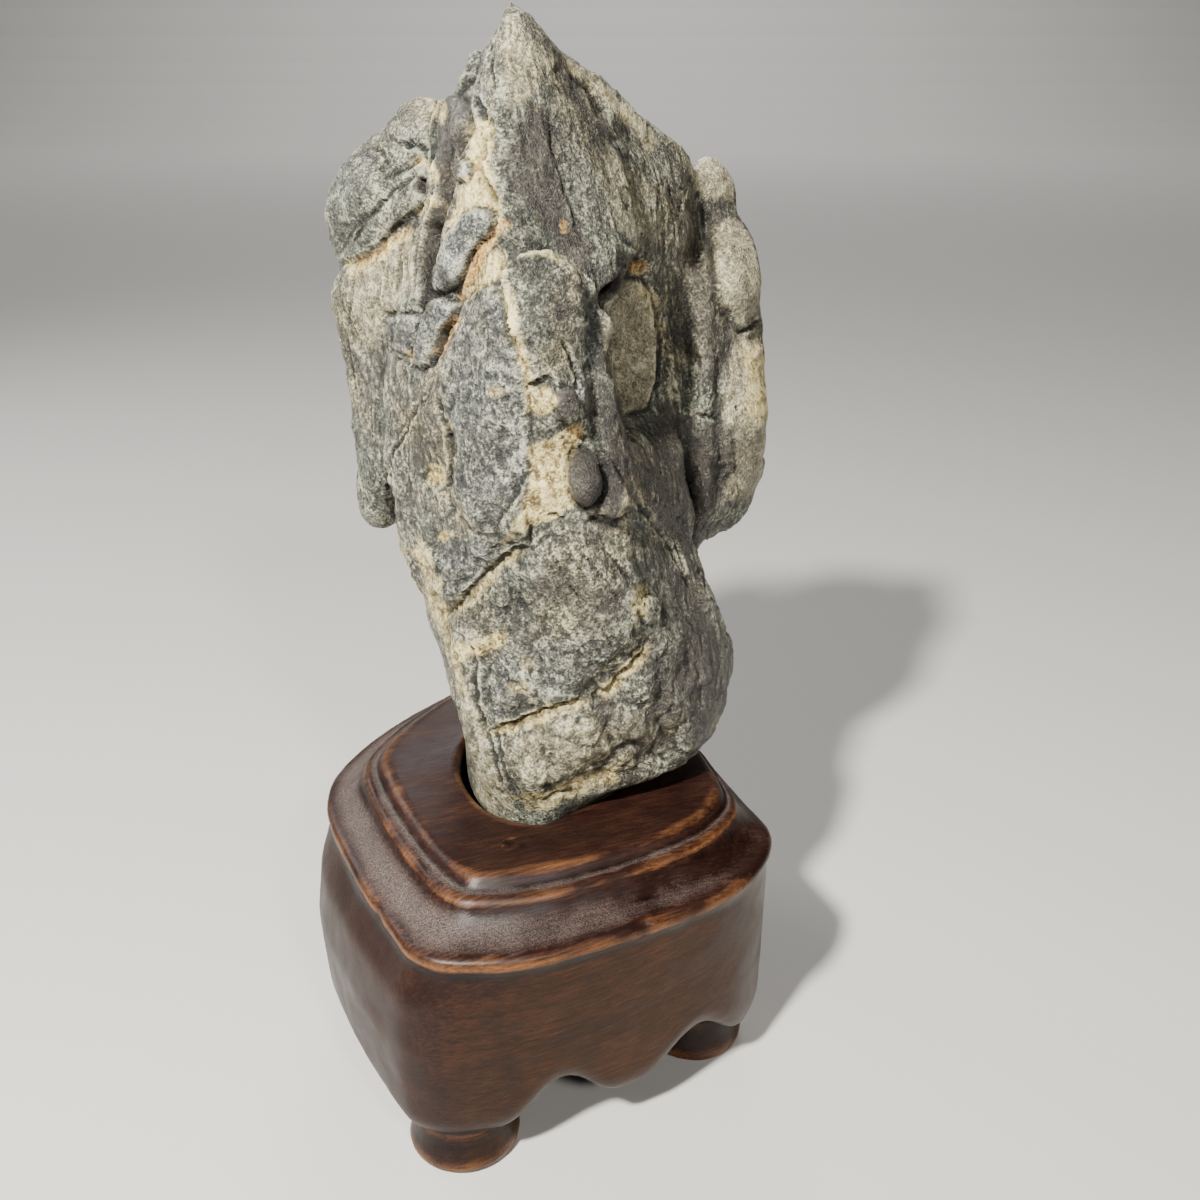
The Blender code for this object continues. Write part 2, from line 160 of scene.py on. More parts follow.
def paint(mesh, name, values):
    layer = mesh.attributes.new(name, 'FLOAT', 'POINT')
    layer.data.foreach_set("value", np.asarray(values, dtype=np.float32))


def newObject(name, mesh):
    thing = bpy.data.objects.new(name, mesh)
    bpy.context.scene.collection.objects.link(thing)
    return thing


def meshOf(bm, name):
    mesh = bpy.data.meshes.new(name)
    bm.to_mesh(mesh)
    bm.free()
    return mesh


def bakedMesh(thing, name):
    # the mesh with the modifiers applied
    bpy.context.view_layer.update()
    ready = thing.evaluated_get(bpy.context.evaluated_depsgraph_get())
    mesh = bpy.data.meshes.new_from_object(ready)
    mesh.name = name
    return mesh


def smoothPiece(name, mesh):
    mesh.polygons.foreach_set("use_smooth", [True] * len(mesh.polygons))
    return newObject(name, mesh)


def neighbours(mesh):
    ends = np.empty(len(mesh.edges) * 2, dtype=np.int32)
    mesh.edges.foreach_get("vertices", ends)
    a, b = ends[::2], ends[1::2]
    return a, b, np.maximum(np.bincount(ends, minlength=len(mesh.vertices)), 1)


def spread(values, links, times):
    # averages the values, or each column of them, with those of their neighbours
    if values.ndim > 1:
        return np.stack([spread(column, links, times) for column in values.T], axis=1)
    a, b, count = links
    for _ in range(times):
        total = (np.bincount(a, weights=values[b], minlength=len(values))
                 + np.bincount(b, weights=values[a], minlength=len(values)))
        values = 0.5 * values + 0.5 * total / count
    return values


def hollowness(points, normals, links, times, full):
    # above 0 in hollows and below 0 on edges
    off = spread(points, links, times) - points
    return np.clip(np.einsum("ij,ij->i", off, normals) / full, -1.0, 1.0)


def treeOf(mesh, points):
    return BVHTree.FromPolygons([Vector(p) for p in points],
                                [tuple(p.vertices) for p in mesh.polygons])


def enclosed(mesh, points, normals, reach, rays, lift=0.25):
    # the share of the view from each point that the piece itself closes off within a reach
    tree = treeOf(mesh, points)
    steps = np.arange(rays) + 0.5
    height = 1.0 - steps / rays
    turn = steps * math.pi * (3.0 - math.sqrt(5.0))
    flat = np.sqrt(1.0 - height ** 2)
    ways = np.stack((flat * np.cos(turn), flat * np.sin(turn), height), axis=1)
    starts = [Vector(p) for p in points + lift * normals]
    hidden = np.zeros(len(points))
    total = np.zeros(len(points))
    for way in ways:
        lean = normals @ way
        weight = np.abs(lean)
        forward, backward = Vector(way), Vector(-way)
        total += weight
        hit = [tree.ray_cast(start, forward if up else backward, reach)[0] is not None
               for start, up in zip(starts, lean > 0.0)]
        hidden += weight * np.array(hit)
    return hidden / total


# the carved stand

stand = {
    "centre": (-11.0, -6.0),
    "rim": [(-25, -62.3), (-9, -60.2), (14.5, -49), (28, -39), (34.7, -25), (30.5, -11.5),
            (14, 26), (-5, 47), (-24, 46), (-42, 30), (-55, 8), (-57.8, -12), (-47.2, -36.6),
            (-38, -52.3), (-33, -59.3)],
    "table": [(-19, -47.3), (-6, -44), (10, -36), (20.5, -26.5), (23.5, -16), (17, 5), (4, 24),
              (-9, 35), (-23, 33), (-36, 16), (-45, -3), (-42.3, -17), (-32.5, -36), (-25, -46)],
    "pocket": [(-29.5, -9), (-23.5, -25.5), (-12.5, -31.8), (-4, -26.5), (6, -17), (13, -4),
               (12, 10), (2, 21), (-12, 22), (-25, 13)],
    "corners": {"near": (-25, -62.3), "right": (34.7, -23), "back": (-12, 49), "left": (-58, -9)},
    "curveSteps": 16,
    "steps": 320,
    "turnSteps": 361,
    "rowLength": 0.9,
    "rounding": 2,
    "cornerEvening": 90,                # how often the walls' swelling is evened round the corners
    "tableHeight": 58.3,
    "pocketFloor": 52.0,
    "pocketTaper": 0.8,
    "ceiling": 27.0,
    "apronThickness": 0.62,
    "wall": [(0.05, 30.0), (0.05, 40.0), (0.085, 46.6), (0.02, 47.5)],
    "mouldings": [(0.0, 48.9), (0.035, 50.2), (0.14, 50.2), (0.4, 51.3), (0.6, 53.7),
                  (0.635, 55.2), (0.73, 56.2), (0.83, 55.5), (0.93, 57.5), (0.99, 58.3)],
    "apronCorner": 8.3,
    "archRise": {"near": 8.6, "right": 8.0, "back": 8.0, "left": 2.0},
    "arches": [(0.24, 0.17), (0.66, 0.2)],
    "pendant": (0.45, 0.3, 1.4),
    "swell": {"near": -1.0, "right": 0.5, "back": 1.0, "left": 5.6},
    "swellByHeight": [(8.0, 0.75), (16.0, 0.95), (30.0, 1.0), (40.0, 0.7), (47.0, 0.0)],
    "feet": {"near": (-26.7, -51.0), "right": (20.0, -22.5), "back": (-13.0, 36.5),
             "left": (-46.5, -8.0)},
    "footProfile": [(9.6, -1.6), (10.5, -0.9), (10.7, 0.4), (10.2, 2.2), (9.7, 4.6),
                    (9.7, 7.4), (9.2, 9.6), (8.2, 11.0), (8.0, 28.0)],
    "footSides": 72,
}


def standCurve(name):
    return curveThrough(stand[name], stand["curveSteps"], closed=True)


def reachAt(name, angles):
    # how far an outline lies from the stand's centre in each direction
    start = standCurve(name) - np.array(stand["centre"])
    end = np.roll(start, -1, axis=0)
    reach = np.zeros(len(angles))
    for i, angle in enumerate(angles):
        way = np.array((math.cos(angle), math.sin(angle)))
        side = np.array((-way[1], way[0]))
        s0 = start @ side
        s1 = end @ side
        cross = (s0 * s1 <= 0.0) & (s0 != s1)
        t = s0[cross] / (s0[cross] - s1[cross])
        hits = (start[cross] + (end[cross] - start[cross]) * t[:, None]) @ way
        reach[i] = hits.max()
    return reach


def standAngles():
    # directions to even steps along the rim
    curve = standCurve("rim")
    closed = np.vstack((curve, curve[:1]))
    lengths = np.concatenate(([0.0], np.cumsum(np.linalg.norm(np.diff(closed, axis=0), axis=1))))
    wanted = lengths[-1] * np.arange(stand["steps"]) / stand["steps"]
    x, y = (np.interp(wanted, lengths, closed[:, k]) - stand["centre"][k] for k in (0, 1))
    return np.arctan2(y, x)


def sideOf(angles):
    # which side of the stand each direction meets, and how far along it
    centre = np.array(stand["centre"])
    rim = reachAt("rim", angles)
    spots = centre + rim[:, None] * np.stack((np.cos(angles), np.sin(angles)), axis=1)
    names = list(stand["corners"])
    starts = [int(np.argmin(np.linalg.norm(spots - np.array(stand["corners"][n]), axis=1)))
              for n in names]
    found = [None] * len(angles)
    for name, start, end in zip(names, starts, starts[1:] + starts[:1]):
        span = (end - start) % len(angles)
        for step in range(span):
            found[(start + step) % len(angles)] = (name, step / span)
    return found


def hump(value, centre, halfWidth):
    off = np.abs(value - centre) / halfWidth
    return np.where(off < 1.0, 0.5 + 0.5 * np.cos(np.pi * np.minimum(off, 1.0)), 0.0)


def standSections(angles):
    # for each direction, the rows (reach, height) from the recess's middle to the socket's
    outer, inner, hole = (reachAt(name, angles) for name in ("rim", "table", "pocket"))
    sides = sideOf(angles)
    along = np.array([s[1] for s in sides])
    rise = np.array([stand["archRise"][s[0]] for s in sides])
    swell = np.array([stand["swell"][s[0]] for s in sides])
    arches = sum(hump(along, *arch) for arch in stand["arches"])
    middle, spread, drop = stand["pendant"]
    edge = stand["apronCorner"] + rise * arches + drop * hump(along, middle, spread)
    belly = swell * np.minimum(1.0, 1.25 * np.sin(np.pi * along) ** 0.7 + 0.15)
    for _ in range(stand["cornerEvening"]):
        belly = (np.roll(belly, 1) + 2.0 * belly + np.roll(belly, -1)) / 4.0
    heights, shares = zip(*stand["swellByHeight"])

    def row(part, height, onWall=False):
        height = np.broadcast_to(np.asarray(height, dtype=float), outer.shape)
        out = outer + (inner - outer) * part
        if onWall:
            out = out + belly * np.interp(height, heights, shares)
        return np.stack((out, height), axis=1)

    thick = stand["apronThickness"]
    rows = [row(thick, stand["ceiling"]), row(thick - 0.06, edge + 0.5, True),
            row(0.22, edge, True), row(0.12, edge + 1.0, True), row(0.06, edge + 4.0, True)]
    rows += [row(part, height, True) for part, height in stand["wall"]]
    rows += [row(part, height) for part, height in stand["mouldings"]]
    top = np.full(outer.shape, stand["tableHeight"])
    rows += [row(1.05, top), np.stack((hole, top), axis=1),
             np.stack((hole - stand["pocketTaper"], np.full(outer.shape, stand["pocketFloor"])),
                      axis=1)]
    return np.stack(rows, axis=1)


def finerRows(sections):
    # splits the rows into short steps and rounds their corners a little
    fine = [sections[:, 0]]
    for k in range(1, sections.shape[1]):
        a = sections[:, k - 1]
        b = sections[:, k]
        longest = np.linalg.norm(b - a, axis=1).mean()
        count = max(1, int(round(longest / stand["rowLength"])))
        for step in range(1, count + 1):
            fine.append(a + (b - a) * step / count)
    fine = np.stack(fine, axis=1)
    for _ in range(stand["rounding"]):
        inside = 0.25 * fine[:, :-2] + 0.5 * fine[:, 1:-1] + 0.25 * fine[:, 2:]
        fine[:, 1:-1] = inside
    return fine


def standBody():
    # the outline drawn up ring by ring, from the recess over the rim and down into the socket
    angles = standAngles()
    sections = finerRows(standSections(angles))
    centre = stand["centre"]
    x = centre[0] + sections[:, :, 0] * np.cos(angles)[:, None]
    y = centre[1] + sections[:, :, 0] * np.sin(angles)[:, None]
    rings = toFrame(np.stack((x, y, sections[:, :, 1]), axis=2))
    bm = bmesh.new()
    bmesh.ops.create_circle(bm, segments=stand["steps"], radius=1.0)
    place = bm.verts.layers.int.new("place")
    for i, vert in enumerate(bm.verts):
        vert[place] = i
        vert.co = rings[i, 0]
    edges = list(bm.edges)
    for k in range(1, rings.shape[1]):
        grown = bmesh.ops.extrude_edge_only(bm, edges=edges)["geom"]
        fresh = {g for g in grown if isinstance(g, bmesh.types.BMVert)}
        for vert in fresh:
            vert.co = rings[vert[place], k]
        edges = [g for g in grown if isinstance(g, bmesh.types.BMEdge)
                 and g.verts[0] in fresh and g.verts[1] in fresh]
    bmesh.ops.holes_fill(bm, edges=bm.edges, sides=0)
    bmesh.ops.recalc_face_normals(bm, faces=bm.faces)
    return bm


def turnedFoot(centre):
    # a low disc with a slight waist, turned about its own upright axis
    bm = bmesh.new()
    profile = [bm.verts.new(Vector((r, 0.0, z)) * mm) for r, z in stand["footProfile"]]
    edges = [bm.edges.new(pair) for pair in zip(profile, profile[1:])]
    bmesh.ops.spin(bm, geom=profile + edges, axis=(0, 0, 1), cent=(0, 0, 0),
                   angle=2 * math.pi, steps=stand["footSides"], use_merge=True)
    bmesh.ops.remove_doubles(bm, verts=bm.verts, dist=0.00001)
    bmesh.ops.holes_fill(bm, edges=bm.edges, sides=0)
    bmesh.ops.recalc_face_normals(bm, faces=bm.faces)
    bmesh.ops.translate(bm, vec=Vector(toFrame((*centre, 0.0))), verts=bm.verts)
    return bm


def placeOnStand(points):
    # the share from the rim (0) to the table's edge (1) at each point
    off = points[:, :2] - np.array(stand["centre"])
    angles = np.arctan2(off[:, 1], off[:, 0])
    turns = np.linspace(-math.pi, math.pi, stand["turnSteps"])
    outer, inner = (np.interp(angles, turns, reachAt(name, turns)) for name in ("rim", "table"))
    return (outer - np.hypot(off[:, 0], off[:, 1])) / (outer - inner)


standWear = {
    "unevenness": [(0.25, 22.0, 0.0), (0.09, 5.0, 4.0)],    # height, size, offset of each noise
    "pores": (0.05, 0.9, 14.0),         # height, size, length along the grain
    "grain": (0.93, 0.36, 0.06),
    "dents": {                          # place, reach, depth
        "tableDent": ((-17.0, -38.5, 58.3), 1.8, 0.6),
        "tableNick": ((-14.2, -39.5, 58.3), 1.2, 0.4),
        "rimNick": ((8.0, -52.0, 49.0), 2.2, 0.5),
        "rimNick2": ((-41.0, -47.0, 48.6), 2.8, 0.5),
        "mouldNick": ((-33.0, -33.0, 54.5), 3.2, 0.6),
    },
    "scratches": {                      # path, half width, depth
        "wallScratch": ([(10, -51, 27), (12.5, -49.5, 31.5)], 0.5, 0.14),
        "sideScratch": ([(-55.5, -22, 41), (-56, -19, 33), (-55.5, -20, 29)], 0.8, 0.25),
    },
    "socket": (51.0, 1.05),             # above this height and past this share lies the socket
    "wall": (9.0, 47.0),                # heights of its foot and top
    "mouldings": 49.3,
    # where handling has worn it pale: the middle and half width of each band
    "rimBand": (48.3, 0.8),
    "footBand": (-0.4, 0.9),
    "stepBand": (0.64, 0.02),
    "tableBand": (0.975, 0.016),
    # shares where dust lies, with a painted sheen where they face left: middle, half width, strength
    "coves": [(0.30, 0.20, 1.0), (0.80, 0.07, 1.0), (0.5, 0.1, 0.5)],
}


def nearPath(points, path):
    best = np.full(len(points), 1e9)
    for start, end in zip(np.asarray(path[:-1], dtype=float), np.asarray(path[1:], dtype=float)):
        way = end - start
        t = np.clip((points - start) @ way / (way @ way), 0.0, 1.0)
        best = np.minimum(best, np.linalg.norm(points - start - t[:, None] * way, axis=1))
    return best


def band(value, middle, half):
    return np.exp(-((value - middle) / half) ** 2)


def wearStand(mesh):
    # hand-cut unevenness, pores, dents and scratches, then what they and the handling coloured, with
    # painted shade, sheen, highlight and glow
    points, normals = readShape(mesh)
    share = placeOnStand(points)
    high, size, long = standWear["pores"]
    relief = layered(points, standWear["unevenness"])
    relief += high * drawnNoise(points, size, long, standWear["grain"], 2.0)
    for centre, reach, deep in standWear["dents"].values():
        off = np.linalg.norm(points - np.array(centre), axis=1) / reach
        relief -= deep * np.maximum(0.0, 1.0 - off ** 2) ** 1.5
    for path, reach, deep in standWear["scratches"].values():
        relief -= deep * np.maximum(0.0, 1.0 - nearPath(points, path) / reach)
    socketFloor, socketEdge = standWear["socket"]
    inSocket = (points[:, 2] > socketFloor) & (share > socketEdge)
    under = points[:, 2] < floorLevel + 0.4
    relief = np.where(under, 0.0, np.where(inSocket, np.minimum(relief, 0.0), relief))
    points = points + normals * relief[:, None]
    points[:, 2] = np.maximum(points[:, 2], floorLevel)
    writePoints(mesh, toFrame(points))
    colourStand(mesh, points, share)


def colourStand(mesh, points, share):
    normals = readShape(mesh)[1]
    links = neighbours(mesh)
    near = hollowness(points, normals, links, 2, 0.05)
    height = points[:, 2]
    wallFoot, wallTop = standWear["wall"]
    onWall = (height < wallTop) & (height > wallFoot)
    onTop = (height > standWear["mouldings"]) & (share > -0.05)
    front = fade(-normals[:, 1] + 0.4 * normals[:, 0], -0.2, 0.7)
    corner = np.linalg.norm(points[:, :2] - np.array(stand["corners"]["near"]), axis=1)
    rim = band(height, *standWear["rimBand"]) * fade(0.10 - share, 0.0, 0.06)
    # paler still near the front corner: a painted highlight on the worn rim
    rim = rim * (0.6 + 0.6 * fade(corner, 40.0, 8.0))
    step = 0.4 * band(share, *standWear["stepBand"]) * fade(height, 54.2, 55.0)
    table = (0.2 + 0.35 * front) * band(share, *standWear["tableBand"]) * fade(height, 56.5, 57.5)
    foot = 0.6 * band(height, *standWear["footBand"]) * (height < wallFoot)
    edge = np.where((height > wallFoot) & (height < 46.0), 0.12, 0.4) * unit(-near)
    wornAndHighlight = (rim + step + table + foot + edge) * (0.75 + 0.7 * noiseAt(points, 7.0, 7.0))
    cove = sum(strength * band(share, middle, half) for middle, half, strength in standWear["coves"])
    # the pale dusty tone grows on the parts facing left: a painted sheen over the dust in the coves
    sheenFromLeft = fade(-(normals[:, 0] + 0.15 * normals[:, 1]), -0.45, 0.25)
    dustAndSheen = onTop * (share < 0.95) * unit(cove) * (0.16 + 0.72 * sheenFromLeft)
    dustAndSheen = dustAndSheen + 0.12 * onTop * (share > 1.0) * (height > 57.0)
    # on the walls it follows their facing, to the left and round the front corner: painted sheen
    dustAndSheen = dustAndSheen + onWall * (0.04 * fade(-normals[:, 0], 0.45, 0.85)
                            + 0.12 * band(normals[:, 0] + 0.25, 0.0, 0.3) * (normals[:, 1] < 0.0)
                            * fade(height, 8.0, 20.0))
    # painted shade: darker where the piece closes itself off within 6 mm
    paintedShade = spread(enclosed(mesh, points, normals, 6.0, 10), links, 2)
    paint(mesh, "wornAndHighlight", unit(wornAndHighlight))
    paint(mesh, "dustAndSheen", unit(dustAndSheen))
    # grime in the hollows and the painted shade together
    paint(mesh, "grimeAndShade", unit(0.8 * unit(near) + 1.6 * np.clip(paintedShade - 0.06, 0.0, 0.6)))
    # a lighter, warmer tone on the walls facing right and front: a painted glow
    paint(mesh, "paintedWarmGlow", (height < wallTop) * fade(normals[:, 0] - 0.5 * normals[:, 1], 0.3, 1.0))


def makeStand():
    body = newObject("stand body", meshOf(standBody(), "stand body"))
    spare = [body]
    for place, centre in stand["feet"].items():
        foot = newObject("foot " + place, meshOf(turnedFoot(centre), "foot " + place))
        union = body.modifiers.new("foot " + place, 'BOOLEAN')
        union.operation = 'UNION'
        union.solver = 'EXACT'
        union.object = foot
        spare.append(foot)
    mesh = bakedMesh(body, "carved stand")
    for thing in spare:
        bpy.data.objects.remove(thing, do_unlink=True)
    wearStand(mesh)
    return smoothPiece("carvedStand", mesh)


# the stone

stone = {
    "voxel": 1.13,
    "lineSteps": 6,
    "smoothing": 5,
    "seenCuts": 1,
    "foot": (59.5, 66.0),               # no relief in the socket, all of it above
    "peak": (172.0, 190.0),             # no seams or plates near the crest
    "clearance": 0.05,                  # the relief stays this far inside the CAD box
    "wander": (9.0, 2.2),               # how far drawn lines stray: size, pixels
    # noises over the whole stone: height, size, offset
    "lumps": [(0.8, 17.0, 0.0), (0.45, 8.0, 5.0)],
    "grit": [(0.10, 1.5, 7.0), (0.07, 0.9, 2.0)],
    "knobs": [(1.0, 3.6, 31.0), (0.5, 1.8, 33.0)],
    "leaves": (0.6, 6.5),               # height and thickness
    # noises drawn out along the lineation: height, size, length, offset
    "chips": [(2.4, 7.0, 2.4, 11.0), (1.1, 3.2, 2.0, 4.0)],
    "ribs": [(1.0, 2.6, 5.0, 35.0), (0.6, 1.3, 8.0, 36.0)],
    "lineation": (0.20, -0.24, -0.95),
    "foliation": (0.80, -0.52, 0.30),
    # thin grooves along the lineation: size, length, depth, thinness
    "wrinkles": [(13.0, 2.6, 0.35, 0.03), (8.0, 1.2, 0.22, 0.025)],
    "seams": (24.0, 0.9, 0.03),         # size, depth, thinness
    "plates": (30.0, 0.9),              # size and step
    # how knobbly rather than ribbed each part is, and the parts that stay smooth
    "texture": [
        (0.1, [
            (440, 40), (520, 0), (600, 80), (690, 150), (790, 200), (790, 520), (700, 560), (600, 450),
            (590, 280), (560, 180), (495, 120)]),
        (0.4, [(490, 120), (560, 180), (600, 290), (600, 390), (530, 400), (500, 260)]),
        (0.5, [(330, 80), (440, 70), (450, 200), (420, 300), (330, 280)]),
        (0.8, [(440, 300), (510, 280), (530, 400), (580, 540), (440, 560), (370, 400)]),
        (1, [(455, 540), (560, 520), (700, 600), (700, 800), (450, 820), (440, 620)]),
    ],
    "smooth": [
        [(602, 296), (624, 276), (642, 278), (652, 300), (658, 340), (656, 380), (644, 412), (624, 414),
         (614, 392), (603, 355)],
        [(330, 190), (350, 150), (385, 110), (430, 92), (436, 140), (420, 170), (430, 196), (404, 228),
         (370, 256), (340, 264)],
        [(440, 92), (478, 84), (470, 126), (458, 160), (448, 200), (437, 240), (434, 300), (428, 314),
         (414, 300), (416, 250), (434, 205), (436, 150)],
        [(567, 455), (582, 449), (597, 455), (600, 480), (592, 505), (575, 508), (566, 485)],
        [(452, 215), (475, 206), (496, 212), (490, 238), (470, 255), (460, 285), (436, 292), (436, 262)],
        [(436, 299), (463, 304), (447, 331), (431, 365), (416, 366), (416, 340)],
        [(684, 156), (702, 148), (722, 156), (736, 182), (732, 200), (702, 196)],
        [(556, 56), (590, 70), (622, 98), (662, 150), (650, 162), (612, 120), (575, 84)],
        [(712, 222), (740, 212), (768, 250), (770, 300), (742, 330), (716, 300)],
        [(738, 336), (776, 390), (778, 450), (768, 486), (745, 500), (730, 450), (730, 380)],
    ],
    # drawn shapes whose lines do not stray
    "clean": ["lens", "blade", "tongue", "square", "pillow", "oval", "bladeRight", "lip",
              "flankEdge", "mate", "knobGap", "spine"],
}

# Shapes on the stone's face, with heights in millimetres and the rest in pixels of the camera's
# 1200 square picture. A ledge stands up on the left of its line as one walks along it: step, how
# far the rise reaches back, dip at its foot, how far the dip reaches, line.
stoneLedges = {
    "wing": (0.4, 26, 0.6, 6, [
        (339, 264), (358, 258.6), (371, 252), (381, 244.5), (391, 229), (408, 219), (422, 203),
        (430, 191)]),
    "bladeEdge": (0.6, 10, 1.1, 8, [
        (444, 92), (440, 125), (437, 156), (437, 195), (426, 220), (422, 246), (416, 280), (419, 299),
        (425, 314)]),
    "secondTip": (0.7, 14, 0.9, 7, [(447, 93), (456, 92), (466, 81), (476, 75)]),
    "spine": (2.1, 20, 1.6, 8, [
        (500, 76), (500, 92), (499, 113), (501, 135), (493, 145), (489, 156), (490, 167), (495, 181),
        (499, 194), (504, 214), (506, 226), (504, 244), (508, 263), (507, 282), (509, 307), (514, 330),
        (521, 352), (525, 371)]),
    "faceArc": (-0.5, 20, 0.5, 7, [
        (501, 121), (510, 122), (518, 129), (522, 140), (523, 153), (533, 191), (542, 214)]),
    "slabTop": (1.1, 22, 0.9, 12, [
        (604, 335), (602, 318), (596, 301), (586, 284), (578, 275), (565, 264), (557, 257), (541, 253),
        (521, 256), (508, 262)]),
    "slabFoot": (0.6, 12, 0.5, 8, [(527, 385), (537, 378), (548, 372), (556, 388)]),
    "wingPlate": (0.8, 14, 0.6, 8, [(398, 237), (389, 256), (384, 272), (382, 295), (388, 318)]),
    "midCrease": (0.9, 12, 0.7, 9, [
        (446, 490), (452, 470), (452, 452), (449, 433), (443, 412), (438, 396)]),
    "longCrack": (0.95, 45, 0.35, 6, [
        (443, 612.5), (458, 604), (470, 588), (484, 573), (496, 561), (504, 553), (516, 545), (525, 541),
        (531, 547), (539, 542), (547, 530)]),
    "cornerPlate": (1, 18, 0.7, 8, [(427, 543), (429, 566), (431.5, 588), (443, 612.5)]),
    "lowPlate": (1, 40, 0.5, 7, [
        (477, 660), (477.5, 668), (479.5, 686), (485, 712), (492.5, 726), (504, 721), (527, 713),
        (552, 703.5), (562, 698), (578, 697), (588, 697)]),
    "notches": (0.9, 22, 0.6, 7, [
        (594, 676), (601.5, 688), (613, 677.5), (623, 666), (632, 660.5), (644, 645)]),
    "bottomCrack": (0.7, 16, 0.5, 7, [(539, 801), (548, 795), (557.5, 790), (567, 788)]),
    "sideCrack": (0.3, 6, 0.5, 4, [(720, 419.5), (708, 417), (695, 413.5)]),
    "backSlab": (-0.6, 14, 1.1, 7, [(608, 118), (594, 99.5), (571, 73.5), (557, 58)]),
    "domeFoot": (1.5, 24, 1.6, 7, [(592, 304), (600, 294), (616, 279), (625, 265), (635, 254)]),
    "flankEdge": (1.5, 12, 1.2, 6, [
        (624, 420), (615, 392), (606, 368), (603, 340), (601, 315), (599, 298)]),
    "facetEdge": (0.8, 26, 0.3, 5, [
        (443, 614), (461, 631), (478, 650), (480, 697), (498, 751), (516, 808)]),
    "wingFold": (0.4, 18, 0.35, 8, [(352, 242), (366, 222), (384, 200), (404, 182), (418, 172)]),
    "plateEnd": (0.9, 30, 0.5, 8, [(529, 470), (521, 491), (513, 502), (504, 516), (495, 533)]),
}

# A crack: half width, depth, line
stoneCracks = {
    "lip": (8, 3.6, [(598, 298), (606, 291), (616, 281), (625, 268), (634, 256)]),
    "tipCrease": (3, 0.9, [(501, 12), (495, 41), (492.5, 61), (493, 80), (497, 95)]),
    "tipGap": (4.5, 2, [(482, 44), (480, 58), (480, 72), (477, 88)]),
    "bladeRight": (3.6, 2.2, [
        (472, 127), (460, 151), (454, 180), (447.6, 208), (439, 227), (435, 250), (432, 280),
        (433, 300)]),
    "bladeMid": (2.4, 0.5, [(452, 130), (447, 160), (444, 190), (432, 225), (426, 255), (424, 290)]),
    "wingGroove": (6, 1, [(394, 177), (402, 170), (409, 165.5), (417, 159), (424, 157)]),
    "tongueLeft": (2.6, 1.1, [(433, 296), (426, 314), (420, 342), (418, 362)]),
    "squareEdge": (2.4, 0.8, [(421, 313), (404, 313), (387, 316), (388, 335), (396, 356), (413, 365)]),
    "wingSeam": (4, 0.9, [(377, 149), (386, 156), (392, 166)]),
    "wingLine": (2.6, 0.7, [(410, 222), (404, 240), (402, 262), (400, 290)]),
    "crevice": (2.8, 0.8, [(465, 303), (457, 318), (449, 331), (442, 350), (434, 364), (428, 367)]),
    "lensLeft": (3.2, 1.2, [(460, 219), (449, 233), (441, 251), (436, 267), (432, 285), (437, 295)]),
    "slabSplit": (3.2, 1.2, [(560, 340), (569, 359), (574, 372), (579, 392)]),
    "rightRidge": (3, 0.8, [(664, 330), (668, 348), (671, 378), (677, 433), (682, 448)]),
    "innerRidge": (3, 0.7, [(655, 305), (661, 333), (659, 370), (655, 400)]),
    "channelEdge": (7, 0.9, [
        (700, 196), (704, 215), (707, 240), (711, 268), (718, 304), (730, 322), (738, 331)]),
    "pinch": (4, 1, [(738, 331), (748, 328), (757, 320)]),
    "lowerLump": (8, 0.6, [
        (738, 334), (728, 350), (721, 366), (719, 390), (720, 416), (719, 450), (718, 480), (716, 505)]),
    "nick": (2.4, 0.8, [(694, 412), (702, 415), (710, 418), (720, 420)]),
    "columnSide": (4, 1.2, [(633, 498), (648, 516), (662, 535), (676, 560), (690, 590)]),
    "columnEdge": (2.6, 0.8, [(440, 387), (417, 410), (403, 440), (391, 455), (387, 480), (395, 505)]),
    "columnEdge2": (2.2, 0.5, [(428, 390), (408, 420), (396, 448), (392, 478), (399, 500)]),
    "tinyCrack": (2.6, 1.3, [(549, 514), (556, 515), (565, 519)]),
    "plateBreak": (2.4, 0.7, [(530, 547), (533, 536), (530, 524)]),
    "lowSide": (3, 0.5, [(497, 727), (505, 752), (513, 780), (521, 806)]),
    "valley": (6, 0.8, [(600, 694), (612, 708), (606, 728), (616, 748)]),
    "valley2": (8, 0.9, [(654, 668), (664, 690), (656, 716), (668, 742)]),
    "valley3": (5, 0.6, [(612, 748), (634, 742), (652, 752)]),
    "valley4": (9, 0.7, [(664, 600), (668, 640), (660, 668)]),
    "wrinkle": (2.2, 0.5, [(530, 562), (552, 592), (574, 628), (592, 660)]),
    "wrinkle2": (2.6, 0.6, [(549, 551), (575, 588), (598, 622), (612, 650)]),
    "wrinkle3": (2.2, 0.5, [(575, 545), (600, 576), (620, 606), (634, 640)]),
    "wrinkle4": (2.6, 0.6, [(600, 548), (624, 576), (644, 612)]),
    "knobGap": (3.2, 1.6, [(600, 452), (603, 475), (600, 494), (594, 507)]),
    "underMate": (6, 2.4, [(592, 516), (604, 524), (616, 517), (629, 509)]),
    "domeSeam": (4, 0.5, [(548, 110), (551, 140), (560, 175), (572, 215), (584, 250)]),
}

